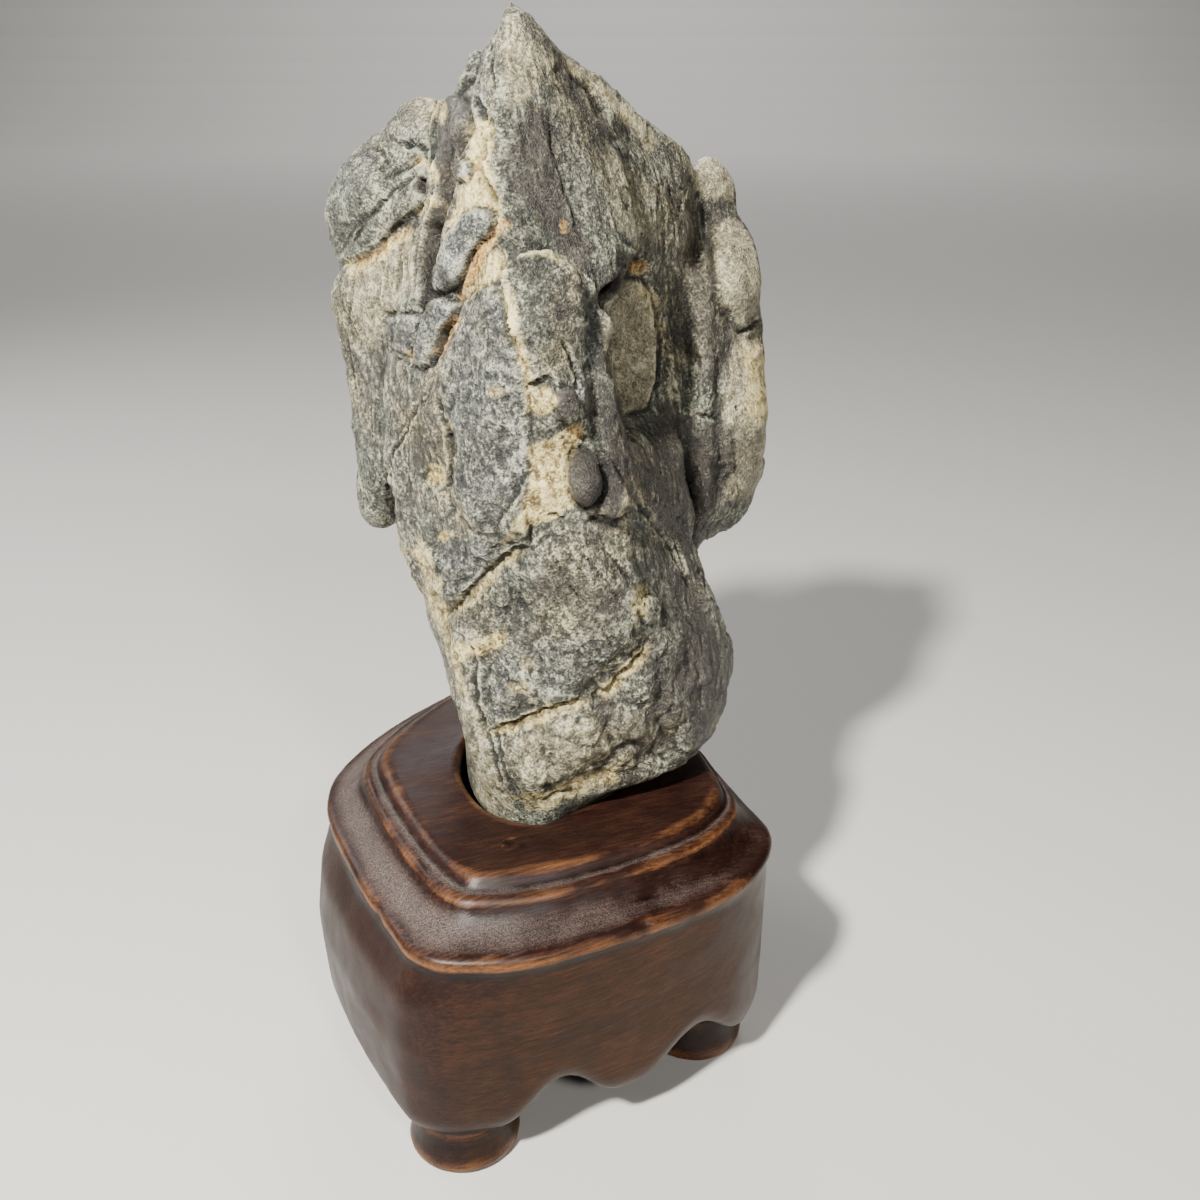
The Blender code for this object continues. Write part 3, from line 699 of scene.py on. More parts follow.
# A plate or lump: height, how wide its rounded edge is, outline
stonePlates = {
    "lens": (1.8, 12, [
        (467, 214), (475, 208), (491, 209), (496, 221), (491, 235), (482, 242.5), (475, 251), (468, 263),
        (465, 274), (461, 283), (449, 292), (436.5, 293.5), (432.7, 284.6), (436.5, 267), (441.6, 251),
        (449, 233.6), (458, 222)]),
    "blade": (2.1, 8, [
        (440, 92), (452, 92), (466, 100), (472, 126), (458, 158), (448, 200), (437, 236), (434, 262),
        (434, 300), (428, 312), (420, 300), (416, 262), (424, 236), (434, 200), (436, 168), (436, 120)]),
    "tongue": (1.8, 7, [
        (436, 299), (450, 298), (463, 304), (457, 320), (446.7, 330.5), (439, 350), (431.4, 365),
        (423.8, 368), (416, 366), (416, 346), (424, 320), (430, 306)]),
    "square": (1.2, 5, [
        (388, 316.5), (408.5, 314), (423.8, 315), (422.5, 333), (417, 346), (413, 356), (400, 352),
        (393, 348), (388, 329)]),
    "bigPlate": (0.8, 10, [
        (467, 302), (482, 288), (505, 282), (509, 307), (514, 331), (522, 355), (527, 380), (530, 420),
        (530, 450), (527, 479), (521, 491), (513, 502), (504, 516), (495, 533), (480, 530), (465, 515),
        (452, 495), (453, 470), (455, 452), (451, 433), (444, 412), (440, 388), (441, 368), (449, 346),
        (459, 322)]),
    "mate": (1.9, 7, [
        (598, 451), (606, 456), (614, 470), (620, 487), (623, 503), (616, 514), (608, 516), (598, 512),
        (597, 503), (603, 490), (604, 470)]),
    "pillow": (1.6, 20, [
        (606, 293), (624, 279), (640, 280), (649, 292), (654, 317), (657, 344), (656, 378), (646, 408),
        (624, 414), (615, 390), (604, 356), (603, 322)]),
    "knob": (1.1, 6, [
        (458, 164), (463, 160), (470, 162), (473, 171), (470, 180), (463, 183), (458, 178)]),
    "nodule": (1.4, 8, [
        (556, 390), (564, 386), (573, 392), (576, 405), (572, 418), (564, 422), (556, 415), (553, 402)]),
    "wingLens": (0.7, 12, [
        (339, 262), (352, 236), (372, 214), (396, 193), (416, 178), (428, 183), (428, 192), (420, 203),
        (406, 218), (390, 229), (380, 243), (369, 252), (356, 258)]),
    "wingCrown": (0.9, 14, [
        (395, 113), (412, 100), (430, 96), (440, 100), (438, 130), (430, 145), (408, 143), (390, 138),
        (386, 126)]),
}

# A soft swelling: height, how far it takes to rise, outline
stoneSwells = {
    "upperLump": (1.3, 18, [
        (710, 212), (728, 208), (748, 220), (764, 250), (768, 290), (756, 316), (740, 330), (728, 312),
        (718, 290), (712, 255)]),
    "lowerLump": (1.5, 22, [
        (738, 336), (760, 342), (776, 390), (778, 450), (768, 486), (745, 500), (724, 500), (722, 450),
        (722, 400), (727, 360)]),
    "paleKnob": (1.2, 16, [
        (684, 156), (702, 148), (722, 156), (736, 182), (734, 200), (718, 202), (702, 196), (692, 180)]),
    "column": (0.9, 20, [
        (668, 205), (700, 210), (704, 250), (698, 300), (690, 350), (684, 400), (676, 380), (668, 330),
        (660, 270)]),
    "columnFoot": (0.9, 10, [(664, 372), (676, 370), (684, 400), (686, 450), (678, 470), (668, 430)]),
    "dome": (0.8, 40, [
        (560, 150), (600, 140), (640, 165), (664, 205), (664, 248), (636, 256), (604, 280), (584, 255),
        (572, 210)]),
    "wing": (0.8, 30, [
        (350, 150), (390, 120), (416, 150), (400, 190), (372, 210), (350, 230), (338, 220)]),
    "slab": (0.7, 24, [
        (512, 268), (560, 268), (590, 300), (592, 335), (560, 345), (530, 372), (518, 330)]),
    "belly": (0.8, 50, [(530, 560), (600, 540), (650, 600), (640, 660), (580, 650), (520, 640)]),
    "toe": (0.9, 34, [(520, 720), (590, 710), (640, 700), (650, 740), (600, 770), (530, 790)]),
    "shin": (0.6, 22, [(458, 700), (480, 705), (505, 760), (520, 800), (490, 800), (470, 760)]),
    "toeLeft": (0.9, 16, [
        (498, 712), (520, 716), (545, 712), (549, 760), (545, 800), (520, 808), (505, 770)]),
    "toeMid": (0.8, 16, [(556, 704), (590, 700), (606, 716), (596, 748), (572, 762), (554, 744)]),
    "toeEnd": (0.8, 16, [(668, 690), (692, 680), (706, 710), (700, 750), (680, 760), (668, 730)]),
    "midRidge": (1, 24, [(560, 560), (600, 545), (640, 580), (652, 636), (622, 650), (590, 620)]),
}

# An oval knob or pit: centre, half sizes, turn in degrees, height
stoneOvals = {
    "oval": ((582.5, 478), (15, 28), -7, 3),
    "wingPit": ((422, 186), (6.5, 8.5), -20, -2.4),
    "wingDimple": ((411, 145), (6, 5), 0, -0.9),
    "wingDimple2": ((423, 148), (6, 4), 20, -0.9),
    "tipHole": ((479.5, 108), (5, 15), -20, -1.4),
    "notch": ((489, 158), (4.5, 10), 10, -1.2),
    "wingSwell": ((356, 190), (26, 34), 20, 0.8),
    "bulgeLow": ((560, 745), (60, 34), -12, 0.9),
    "bulgeMid": ((600, 600), (40, 60), 0, 0.7),
    "lowPit": ((634, 652), (7, 8), 0, -1),
    "lowPit2": ((660, 700), (8, 12), 0, -0.8),
    "redPit": ((640, 266), (9, 6), 0, -0.5),
    "smallPit": ((499, 241), (3.5, 3), 0, -0.8),
    "smallPit2": ((734, 407.5), (2.6, 2.6), 0, -0.7),
    "spot": ((436.5, 476), (10, 10), 0, -0.8),
    "darkHole": ((596, 694), (5, 4), 0, -0.8),
    "toeKnob": ((586, 726), (15, 12), -20, 0.9),
    "toeKnob2": ((632, 722), (14, 17), 15, 1.1),
    "toeKnob3": ((644, 694), (11, 9), 0, 0.8),
    "toeKnob4": ((688, 734), (13, 18), 10, 1),
    "toeKnob5": ((620, 762), (16, 9), -12, 0.8),
    "toeKnob6": ((556, 772), (17, 12), -10, 0.7),
    "sideKnob": ((672, 650), (13, 20), 8, 0.8),
    "sideKnob2": ((648, 610), (12, 15), -20, 0.7),
    "backKnob": ((536, 764), (12, 20), 12, 0.6),
}


def drawnLine(points):
    return curveThrough(points, stone["lineSteps"])


def nearLine(spots, line):
    # distance to the line, the side (1 on its left), and the share of its length walked
    steps = np.diff(line, axis=0)
    lengths = np.linalg.norm(steps, axis=1)
    walked = np.concatenate(([0.0], np.cumsum(lengths)))
    best = np.full(len(spots), 1e9)
    side = np.ones(len(spots))
    along = np.zeros(len(spots))
    for k, (start, way) in enumerate(zip(line, steps)):
        t = np.clip((spots - start) @ way / lengths[k] ** 2, 0.0, 1.0)
        off = spots - start - t[:, None] * way
        far = np.hypot(off[:, 0], off[:, 1])
        nearer = far < best
        best[nearer] = far[nearer]
        turn = way[0] * off[:, 1] - way[1] * off[:, 0]
        side[nearer] = np.where(turn[nearer] <= 0.0, 1.0, -1.0)
        along[nearer] = (walked[k] + t[nearer] * lengths[k]) / walked[-1]
    return best, side, along


def insideBy(spots, outline):
    # how far inside the closed outline each spot lies, negative outside
    closed = np.array(outline + outline[:1], dtype=float)
    far = nearLine(spots, closed)[0]
    inside = np.zeros(len(spots), dtype=bool)
    for (x0, y0), (x1, y1) in zip(closed[:-1], closed[1:]):
        spans = (y0 > spots[:, 1]) != (y1 > spots[:, 1])
        crossing = x0 + (x1 - x0) * (spots[:, 1] - y0) / (y1 - y0 if y1 != y0 else 1e-9)
        inside ^= spans & (spots[:, 0] < crossing)
    return np.where(inside, far, -far)


def ledgeHeight(spots, step, back, dip, front, line):
    far, side, along = nearLine(spots, drawnLine(line))
    up = step * np.exp(-far / back) * fade(side * far, -1.2, 1.2)
    down = -dip * np.exp(-(far / front) ** 1.3) * fade(-side * far, -1.2, 1.2)
    return (up + down) * fadeEnds(along, 0.12)


def crackHeight(spots, half, depth, line):
    far, _, along = nearLine(spots, drawnLine(line))
    return -depth * np.maximum(0.0, 1.0 - far / half) ** 1.2 * (0.25 + 0.75 * fadeEnds(along, 0.15))


def plateHeight(spots, height, edge, outline):
    inside = insideBy(spots, outline)
    groove = 0.25 * height * np.exp(-(np.abs(inside) / 2.6) ** 2) * (inside < 0.0)
    return height * np.sqrt(1.0 - (1.0 - unit(inside / edge)) ** 2) - groove


def swellHeight(spots, height, edge, outline):
    return height * fade(insideBy(spots, outline), -0.35 * edge, edge)


def ovalHeight(spots, centre, halves, turn, height):
    a = math.radians(turn)
    off = spots - np.array(centre)
    x = (off[:, 0] * math.cos(a) + off[:, 1] * math.sin(a)) / halves[0]
    y = (-off[:, 0] * math.sin(a) + off[:, 1] * math.cos(a)) / halves[1]
    r = np.sqrt(x * x + y * y)
    dome = height * np.sqrt(np.maximum(0.0, 1.0 - r * r))
    if height > 2.0:
        dome = dome - 0.3 * height * np.exp(-((r - 1.08) / 0.12) ** 2)
    return dome


def seenBy(mesh, points, normals):
    # 1 where the surface faces the camera with nothing in front of it
    eye = np.array(camera["place"])
    toEye = eye - points
    toEye /= np.linalg.norm(toEye, axis=1)[:, None]
    facing = np.einsum("ij,ij->i", normals, toEye)
    tree = treeOf(mesh, points)
    clear = np.zeros(len(points))
    for i in np.nonzero(facing > 0.02)[0]:
        start = Vector(points[i] + normals[i] * 0.5 + toEye[i] * 0.5)
        if tree.ray_cast(start, Vector(toEye[i]))[0] is None:
            clear[i] = 1.0
    return clear * fade(facing, 0.04, 0.3)


def stoneBlank():
    # the plain stone with an even surface, denser where it is seen
    bm = bmesh.new()
    bm.from_mesh(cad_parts["rock"].data)
    bmesh.ops.remove_doubles(bm, verts=bm.verts, dist=0.00001)
    rough = newObject("rough stone", meshOf(bm, "rough stone"))
    even = rough.modifiers.new("even surface", 'REMESH')
    even.mode = 'VOXEL'
    even.voxel_size = stone["voxel"] * mm
    mesh = bakedMesh(rough, "scholar stone")
    bpy.data.objects.remove(rough, do_unlink=True)
    bm = bmesh.new()
    bm.from_mesh(mesh)
    smooth(bm, stone["smoothing"])
    bm.to_mesh(mesh)
    seen = seenBy(mesh, *readShape(mesh)) > 0.1
    bm.verts.ensure_lookup_table()
    faces = [f for f in bm.faces if all(seen[v.index] for v in f.verts)]
    edges = list({e for f in faces for e in f.edges})
    bmesh.ops.subdivide_edges(bm, edges=edges, cuts=stone["seenCuts"], use_grid_fill=True)
    smooth(bm, 2)
    bmesh.ops.triangulate(bm, faces=[f for f in bm.faces if len(f.verts) > 4])
    bm.to_mesh(mesh)
    bm.free()
    return mesh


def smooth(bm, times):
    for _ in range(times):
        bmesh.ops.smooth_vert(bm, verts=bm.verts, factor=0.5, use_axis_x=True, use_axis_y=True,
                              use_axis_z=True)


def alongStone(points, size, long, offset):
    return drawnNoise(points, size, long, stone["lineation"], offset)


def terraced(field, edge):
    # steps of 1 with soft edges
    level = np.floor(field)
    return level + fade(field - level, 0.0, edge)


def weathered(points, pixels, seen):
    # lumps, leaves of the foliation, chipped terraces, knobs and ribs over the whole stone
    high, thick = stone["leaves"]
    across = points @ np.array(stone["foliation"]) / thick + 0.8 * noiseAt(points, 15.0, 3.0)
    leaf = across - np.floor(across)
    strength = unit(0.45 + 0.9 * noiseAt(points, 13.0, 8.0))
    leaves = high * (fade(leaf, 0.0, 0.12) - leaf) * strength
    field = sum(high * alongStone(points, *kind) for high, *kind in stone["chips"])
    chips = 0.42 * terraced(field, 0.16) - 0.3 * field
    knobs = sum(high * np.abs(noiseAt(points, *kind)) for high, *kind in stone["knobs"])
    ribs = sum(high * (1.0 - 2.0 * np.abs(alongStone(points, *kind)))
               for high, *kind in stone["ribs"])
    wrinkles = 0.0
    for size, long, deep, thin in stone["wrinkles"]:
        line = alongStone(points, size, long, 50.0 + size)
        where = fade(noiseAt(points, 11.0, 60.0 + size), -0.1, 0.4)
        wrinkles = wrinkles - deep * where * np.exp(-(line / thin) ** 2)
    pits = -0.35 * fade(noiseAt(points, 2.6, 6.0), 0.42, 0.75)
    knobby = fade(noiseAt(points, 20.0, 37.0), -0.25, 0.25)
    for share, area in stone["texture"]:
        knobby = knobby + (share - knobby) * (seen * fade(insideBy(pixels, area), -14.0, 14.0))
    quiet = np.zeros(len(points))
    for area in stone["smooth"]:
        quiet = np.maximum(quiet, seen * fade(insideBy(pixels, area), -6.0, 10.0))
    fine = (knobby * 0.62 * (knobs - 0.3) + (1.0 - knobby) * 0.15 * ribs
            + layered(points, stone["grit"]) + wrinkles)
    return (layered(points, stone["lumps"]), (leaves + chips) * (1.0 - 0.85 * quiet),
            (fine + pits) * (1.0 - 0.8 * quiet), (1.0 - knobby) * (1.0 - quiet))


def seamed(points):
    # cracks and stepped plates for the sides where none are drawn
    size, deep, thin = stone["seams"]
    seam = alongStone(points, size, 1.8, 81.0) + 0.25 * noiseAt(points, size / 5.0, 83.0)
    along = drawnNoise(points, 0.8 * size, 1.5, stone["foliation"], 87.0)
    size, step = stone["plates"]
    levels = 2.2 * noiseAt(points, size, 91.0) + 0.3 * noiseAt(points, size / 5.0, 93.0)
    plates = step * (terraced(levels, 0.2) - levels - 0.4)
    return (-deep * np.exp(-(seam / thin) ** 2) - 0.6 * deep * np.exp(-(along / thin) ** 2)
            + plates)


def stoneRelief(points, seen):
    # height of the finished surface over the blank in millimetres, and how ribbed it is
    straight = pixelsOf(points)
    size, far = stone["wander"]
    pixels = straight + far * stray(points, size / 5.0, 1.0, 9.0)
    pixels = pixels + 0.6 * far * stray(points, size / 14.0, 41.0, 43.0)
    drawn = np.zeros(len(points))
    front = np.nonzero(seen > 0.02)[0]

    def total(shapes, heightOf):
        sums = np.zeros(len(front))
        for name, shape in shapes.items():
            spots = straight if name in stone["clean"] else pixels
            sums += heightOf(spots[front], *shape)
        return sums

    forms = (total(stoneSwells, swellHeight) + total(stonePlates, plateHeight)
             + total(stoneOvals, ovalHeight))
    edges = total(stoneLedges, ledgeHeight) + total(stoneCracks, crackHeight)
    edges *= np.clip(1.0 + 1.1 * noiseAt(points[front], 4.0, 45.0), 0.35, 1.6)
    crumbs = 0.35 * np.abs(noiseAt(points[front], 1.6, 71.0)) + 0.12 * noiseAt(points[front], 0.9, 73.0)
    crust = painted(pixels[front], "crust") * (crumbs - 0.2)
    drawn[front] = (forms + edges + crust) * seen[front]
    lumps, leaves, fine, ribbed = weathered(points, pixels, seen)
    broad = lumps * (1.0 - 0.7 * seen)
    broad += seamed(points) * (1.0 - seen) ** 2 * (1.0 - fade(points[:, 2], *stone["peak"]))
    return broad + leaves * (1.0 - 0.4 * seen) + fine * (0.6 + 0.4 * seen) + drawn, ribbed


# What is painted rather than shaped, in the same pixels, painted shade and painted light among it:
# lines with a half width, areas with a soft edge and spots with two radii, each with its strength.
# A stroke without points of its own follows the line or outline of the same name above.
paintLines = {
    "tanAndLight": {
        "backEdge": (8, 0.9, [(560, 62), (584, 74), (612, 100), (640, 130), (655, 150)]),
        "rightRidge": (4, 0.5, [(668, 340), (672, 378), (678, 433)]),
        "shin": (14, 0.8, [(460, 700), (474, 740), (490, 790), (506, 812)]),
    },
    "crust": {
        "seam": (5, 0.95, [(507, 283), (511, 310), (516, 335), (522, 360), (528, 385), (531, 415)]),
        "slabTop": (2.6, 0.8, [(508, 262), (521, 256), (541, 253), (557, 257), (566, 265)]),
        "underCrack": (6, 0.55, [(448, 615), (464, 604), (476, 591), (492, 575), (508, 560), (524, 549)]),
        "lowerLeft": (8, 0.95, [(455, 653), (474, 649), (492, 643), (503, 635)]),
        "leftEdge": (9, 0.55, [(412, 540), (428, 566), (438, 610), (450, 660), (460, 700)]),
        "leftFacet": (8, 0.2, [(453, 700), (462, 740), (482, 790), (500, 808)]),
        "wingLedge": (6, 0.9, [(342, 271), (362, 266), (378, 257), (394, 241), (412, 229)]),
        "wingRim": (4, 0.9, [(414, 164), (424, 162), (433, 169), (437, 182)]),
        "underPit": (5, 0.9, [(420, 214), (429, 206), (436, 196)]),
        "wingTop": (7, 0.6, [(432, 96), (440, 108), (438, 122)]),
        "hollowRim": (6, 0.45, [(640, 286), (652, 302), (660, 332)]),
        "outerFoot": (12, 0.7, [(750, 345), (758, 390), (756, 420)]),
        "lowPlate": (7, 0.6, [(494, 733), (510, 727), (530, 720), (555, 710), (588, 703)]),
        "notches": (7, 0.65, [(600, 694), (614, 685), (628, 670), (646, 652)]),
        "footEdge": (10, 0.5, [(520, 800), (545, 801), (575, 786), (622, 772)]),
        "backEdge": (6, 0.25, [(560, 62), (584, 74), (612, 100), (640, 130), (655, 150)]),
        "midCrease": (3.5, 0.6, [(449, 420), (450, 450), (448, 470)]),
    },
    "ochre": {
        "vein": (5, 1, [
            (505, 222), (498, 232), (488, 244), (480, 256), (474, 270), (467, 286), (459, 300)]),
        "crevice": (4.5, 0.8, [(458, 316), (450, 331), (444, 345), (436, 360)]),
        "wingLedge": (3, 0.6, [(350, 266), (372, 257), (388, 243), (402, 230)]),
    },
    "slate": {
        "blade": (8, 0.45, [(444, 135), (440, 170), (436, 210), (425, 250), (424, 295)]),
        "slabSide": (9, 0.7, [(588, 300), (594, 330), (588, 370), (576, 400)]),
    },
    # dark umber strokes along the lip, cracks, ledge feet and the oval's rim: painted shade in the
    # creases
    "umberAndShade": {
        "lip": (8, 1.3),
        "bladeRight": (2.6, 1),
        "tongueLeft": (1.8, 1),
        "squareEdge": (1.7, 0.9),
        "wing": (1.6, 0.9),
        "spineFoot": (2, 0.9, [
            (499, 135), (491, 145), (487, 156), (488, 168), (493, 182), (498, 200), (503, 226),
            (502, 250)]),
        "ovalRim": (2.4, 1, [
            (583, 448), (594, 453), (599, 470), (597, 492), (588, 507), (577, 503), (568, 488),
            (566, 470), (572, 454), (582, 448)]),
        "flankEdge": (3, 0.8),
        "tipEdge": (4, 0.7, [(520, 10), (540, 30), (558, 58)]),
        "bladeFoot": (3, 0.8, [(440, 95), (438, 140), (436, 190)]),
    },
}

paintAreas = {
    # the pillow lightens the hollow's floor, and outerLump, lowerLump, tipFace and dome the faces that
    # catch light: painted light over pale tan stone
    "tanAndLight": {
        "pillow": (6, 0.95),
        "wingLow": (12, 0.8, [
            (345, 275), (372, 262), (392, 245), (404, 238), (418, 232), (416, 262), (416, 290),
            (386, 320), (372, 350), (362, 330), (350, 300)]),
        "outerLump": (12, 0.95, [
            (718, 222), (740, 218), (762, 250), (768, 290), (756, 318), (740, 328), (724, 300),
            (716, 262)]),
        "lowerLump": (12, 0.95),
        "paleKnob": (6, 1),
        "tipFace": (12, 0.8, [(503, 10), (520, 22), (546, 62), (534, 96), (512, 116), (500, 80)]),
        "dome": (16, 0.5, [(600, 150), (640, 165), (664, 205), (660, 245), (630, 252), (606, 220)]),
        "lowRight": (12, 0.5, [(645, 700), (670, 690), (672, 730), (640, 750), (600, 760), (610, 735)]),
        "lowMid": (16, 0.6, [(500, 740), (560, 722), (600, 712), (620, 740), (590, 770), (520, 790)]),
    },
    "crust": {
        "channel": (5, 0.95, [
            (470, 128), (484, 118), (497, 128), (491, 148), (489, 160), (493, 180), (499, 196),
            (504, 216), (504, 232), (496, 236), (497, 220), (490, 208), (475, 206), (463, 214),
            (452, 228), (448, 222), (456, 203), (461, 186), (472, 180), (474, 168), (468, 160)]),
        "underLens": (5, 0.95, [
            (503, 246), (506, 262), (506, 278), (492, 282), (478, 292), (468, 300), (462, 304),
            (474, 278), (486, 256)]),
        "bay": (8, 1, [
            (529, 447), (548, 440), (565, 432), (572, 424), (583, 428), (576, 446), (567, 462),
            (568, 488), (575, 506), (560, 514), (545, 522), (530, 524), (512, 536), (504, 542),
            (520, 512), (530, 490)]),
    },
    "slate": {
        "lens": (4, 0.8),
        "tongue": (4, 0.75),
        "square": (3, 1.2),
        "bigPlate": (8, 0.6),
        "corner": (5, 0.7, [
            (429, 547), (470, 535), (500, 547), (480, 574), (458, 602), (443, 611), (433, 595)]),
        "lowPlate": (8, 0.5, [
            (479, 668), (500, 655), (560, 640), (600, 640), (620, 652), (600, 668), (585, 690),
            (555, 700), (525, 712), (504, 720), (492, 725), (484, 708)]),
        "leftFlank": (8, 0.4, [
            (392, 300), (400, 318), (392, 350), (396, 400), (400, 430), (388, 440), (380, 400),
            (384, 340)]),
    },
    # band and top are dark stone; flank, channel, face, side and underKnob darken the sides facing right
    # and the channel: painted shade
    "umberAndShade": {
        "band": (14, 0.75, [
            (530, 100), (552, 104), (560, 135), (560, 160), (566, 190), (578, 214), (590, 245),
            (598, 280), (580, 272), (562, 250), (544, 232), (524, 205), (508, 176), (504, 150),
            (518, 124)]),
        "top": (8, 0.7, [
            (558, 62), (580, 82), (602, 108), (618, 134), (608, 150), (586, 122), (568, 100), (556, 84)]),
        "flank": (8, 0.6, [
            (583, 400), (598, 352), (604, 345), (612, 375), (626, 418), (640, 450), (636, 490),
            (620, 470), (604, 446), (590, 430)]),
        "channel": (12, 0.5, [
            (680, 215), (700, 200), (710, 215), (714, 260), (722, 300), (736, 335), (732, 372),
            (712, 388), (690, 380), (676, 330), (672, 270)]),
        "face": (12, 0.7, [
            (660, 400), (700, 420), (736, 424), (740, 470), (716, 512), (694, 552), (668, 540),
            (648, 510), (640, 470), (648, 440)]),
        "side": (20, 0.75, [
            (664, 560), (690, 580), (704, 600), (722, 650), (722, 720), (704, 768), (680, 740),
            (672, 690), (668, 630)]),
        "underKnob": (6, 0.6, [(704, 196), (730, 200), (736, 214), (720, 226), (704, 214)]),
        "blade": (4, 0.75),
    },
}

paintSpots = {
    "crust": {
        "patch": ((543, 401), (13, 14), 1),
        "leftSpot": ((437, 475), (11, 10), 0.9),
        "leftSpot2": ((445, 536), (9, 5), 0.6),
        "low": ((520, 690), (14, 10), 0.35),
        "low2": ((528, 664), (10, 8), 0.35),
        "bigPlate": ((496, 392), (7, 7), 0.6),
        "side": ((640, 600), (10, 20), 0.5),
    },
    "ochre": {
        "leftSpot": ((437, 478), (5, 5), 0.7),
        "leftSpot2": ((447, 536), (6, 3), 0.6),
        "channelSpot": ((479, 168), (5, 6), 0.9),
        "bay": ((575, 433), (8, 8), 0.5),
        "hollow": ((638, 267), (12, 8), 0.55),
        "lowerLeft": ((488, 645), (9, 6), 0.5),
        "squareSpot": ((411, 354), (5, 5), 0.6),
        "domeSpot": ((564, 226), (5, 8), 0.6),
    },
    "slate": {
        "knob": ((465, 171), (7, 10), 0.9),
        "wingSpot": ((411, 145), (4, 3), 0.5),
        "wingSpot2": ((411, 145), (8, 6), 0.8),
        "tipHole": ((480, 106), (6, 14), 0.8),
    },
    # oval, mate, nodule and square are dark stone; underMate and wingPit darken hollows, and the toe and
    # low spots the lower right: painted shade
    "umberAndShade": {
        "oval": ((582, 479), (16, 29), 1.3),
        "mate": ((612, 486), (11, 34), 1.3),
        "nodule": ((565, 404), (11, 18), 1.1),
        "underMate": ((608, 524), (12, 7), 1),
        "toe": ((607, 712), (10, 16), 0.7),
        "toe2": ((660, 700), (12, 40), 0.7),
        "toe3": ((640, 748), (34, 9), 0.6),
        "toe4": ((600, 778), (50, 8), 0.7),
        "wing": ((358, 184), (14, 12), 0.4),
        "wingPit": ((422, 186), (6, 8), 1.1),
        "square": ((404, 334), (15, 18), 0.5),
        "low": ((600, 610), (34, 26), 0.5),
        "low2": ((640, 730), (26, 20), 0.55),
        "low3": ((560, 590), (30, 20), 0.45),
        "leftFacet": ((468, 752), (9, 40), 0.6),
        "corner": ((448, 585), (14, 20), 0.4),
        "low4": ((600, 690), (22, 14), 0.5),
        "low5": ((660, 650), (20, 50), 0.5),
    },
}


# The same colours in patches on the hidden sides: size, offset, pull of the hollows and of the
# right side, where the fade starts and ends, strength
stonePatches = {
    "tanAndLight": (22.0, 20.0, 0.2, 0.0, 0.0, 0.5, 0.7),
    "slate": (24.0, 25.0, 0.0, 0.0, 0.0, 0.5, 0.55),
    # the umber patches also lean to the sides facing right: painted shade there
    "umberAndShade": (24.0, 27.0, 0.0, 0.3, 0.1, 0.7, 0.6),
    "crust": (15.0, 21.0, 0.3, 0.0, 0.2, 0.6, 0.5),
    "ochre": (7.0, 23.0, 0.3, 0.0, 0.45, 0.7, 0.45),
}


def strokes(kind, colour, shapes):
    # the strokes of one colour, those without points with the points of the relief's shape
    for name, (soft, strength, *points) in kind.get(colour, {}).items():
        yield soft, strength, points[0] if points else shapes[name][-1]


def painted(spots, colour):
    # how strongly the strokes of one colour cover each spot
    cover = np.zeros(len(spots))
    for half, strength, line in strokes(paintLines, colour, {**stoneLedges, **stoneCracks}):
        far, _, along = nearLine(spots, drawnLine(line))
        ends = 0.4 + 0.6 * fadeEnds(along, 0.08)
        cover = np.maximum(cover, strength * fade(half - far, -1.5, 2.0) * ends)
    for soft, strength, outline in strokes(paintAreas, colour, {**stonePlates, **stoneSwells}):
        inside = insideBy(spots, outline)
        cover = np.maximum(cover, strength * fade(inside, -0.6 * soft, 0.6 * soft))
    for centre, radii, strength in paintSpots.get(colour, {}).values():
        off = (spots - np.array(centre)) / np.array(radii)
        cover = np.maximum(cover, strength * fade(1.25 - np.hypot(off[:, 0], off[:, 1]), 0.0, 0.5))
    return cover


def paintStone(mesh, seen):
    # the drawn colours where the stone is seen, and the patches elsewhere
    points, normals = readShape(mesh)
    links = neighbours(mesh)
    pixels = pixelsOf(points) + 3.0 * stray(points, 2.4, 12.0, 15.0)
    near = hollowness(points, normals, links, 2, 0.11)
    far = hollowness(points, normals, links, 12, 0.6)
    covers = {}
    for name, (size, offset, pull, turn, low, high, strength) in stonePatches.items():
        field = noiseAt(points, size, offset) + pull * far + turn * normals[:, 0]
        patches = strength * fade(field, low, high)
        covers[name] = spread(seen * painted(pixels, name) + (1.0 - seen) * patches, links, 3)
        paint(mesh, name, covers[name])
    # lighter on edges and darker in hollows, stronger where seen: painted highlight and painted shade
    edges = np.clip(0.7 * near + 0.5 * far, -1.0, 1.0) * (0.5 + 0.5 * seen)
    paint(mesh, "edges", edges * (1.0 - 0.85 * unit(covers["umberAndShade"])))
    # painted shade: darker where the stone closes itself off within 9 mm
    paintedShade = spread(enclosed(mesh, points, normals, 9.0, 14), links, 1)
    paint(mesh, "paintedShade", unit(1.8 * (paintedShade - 0.08)))


def makeStone():
    mesh = stoneBlank()
    points, normals = readShape(mesh)
    links = neighbours(mesh)
    seen = spread(seenBy(mesh, points, normals), links, 4)
    relief, ribbed = stoneRelief(points, seen)
    relief = relief * fade(points[:, 2], *stone["foot"])
    ways = spread(normals, links, 6)
    ways /= np.linalg.norm(ways, axis=1)[:, None]
    points = toFrame(points + ways * relief[:, None])
    low, high = (np.array(corner) for corner in cadBox)
    gap = stone["clearance"] * mm
    writePoints(mesh, np.clip(points, low + gap, high - gap))
    paintStone(mesh, seen)
    paint(mesh, "ribbed", unit(ribbed))
    return smoothPiece("scholarStone", mesh)


# materials

def newMaterial(name):
    material = bpy.data.materials.new(name)
    material.use_nodes = True
    tree = material.node_tree
    return material, tree, tree.nodes["Principled BSDF"]


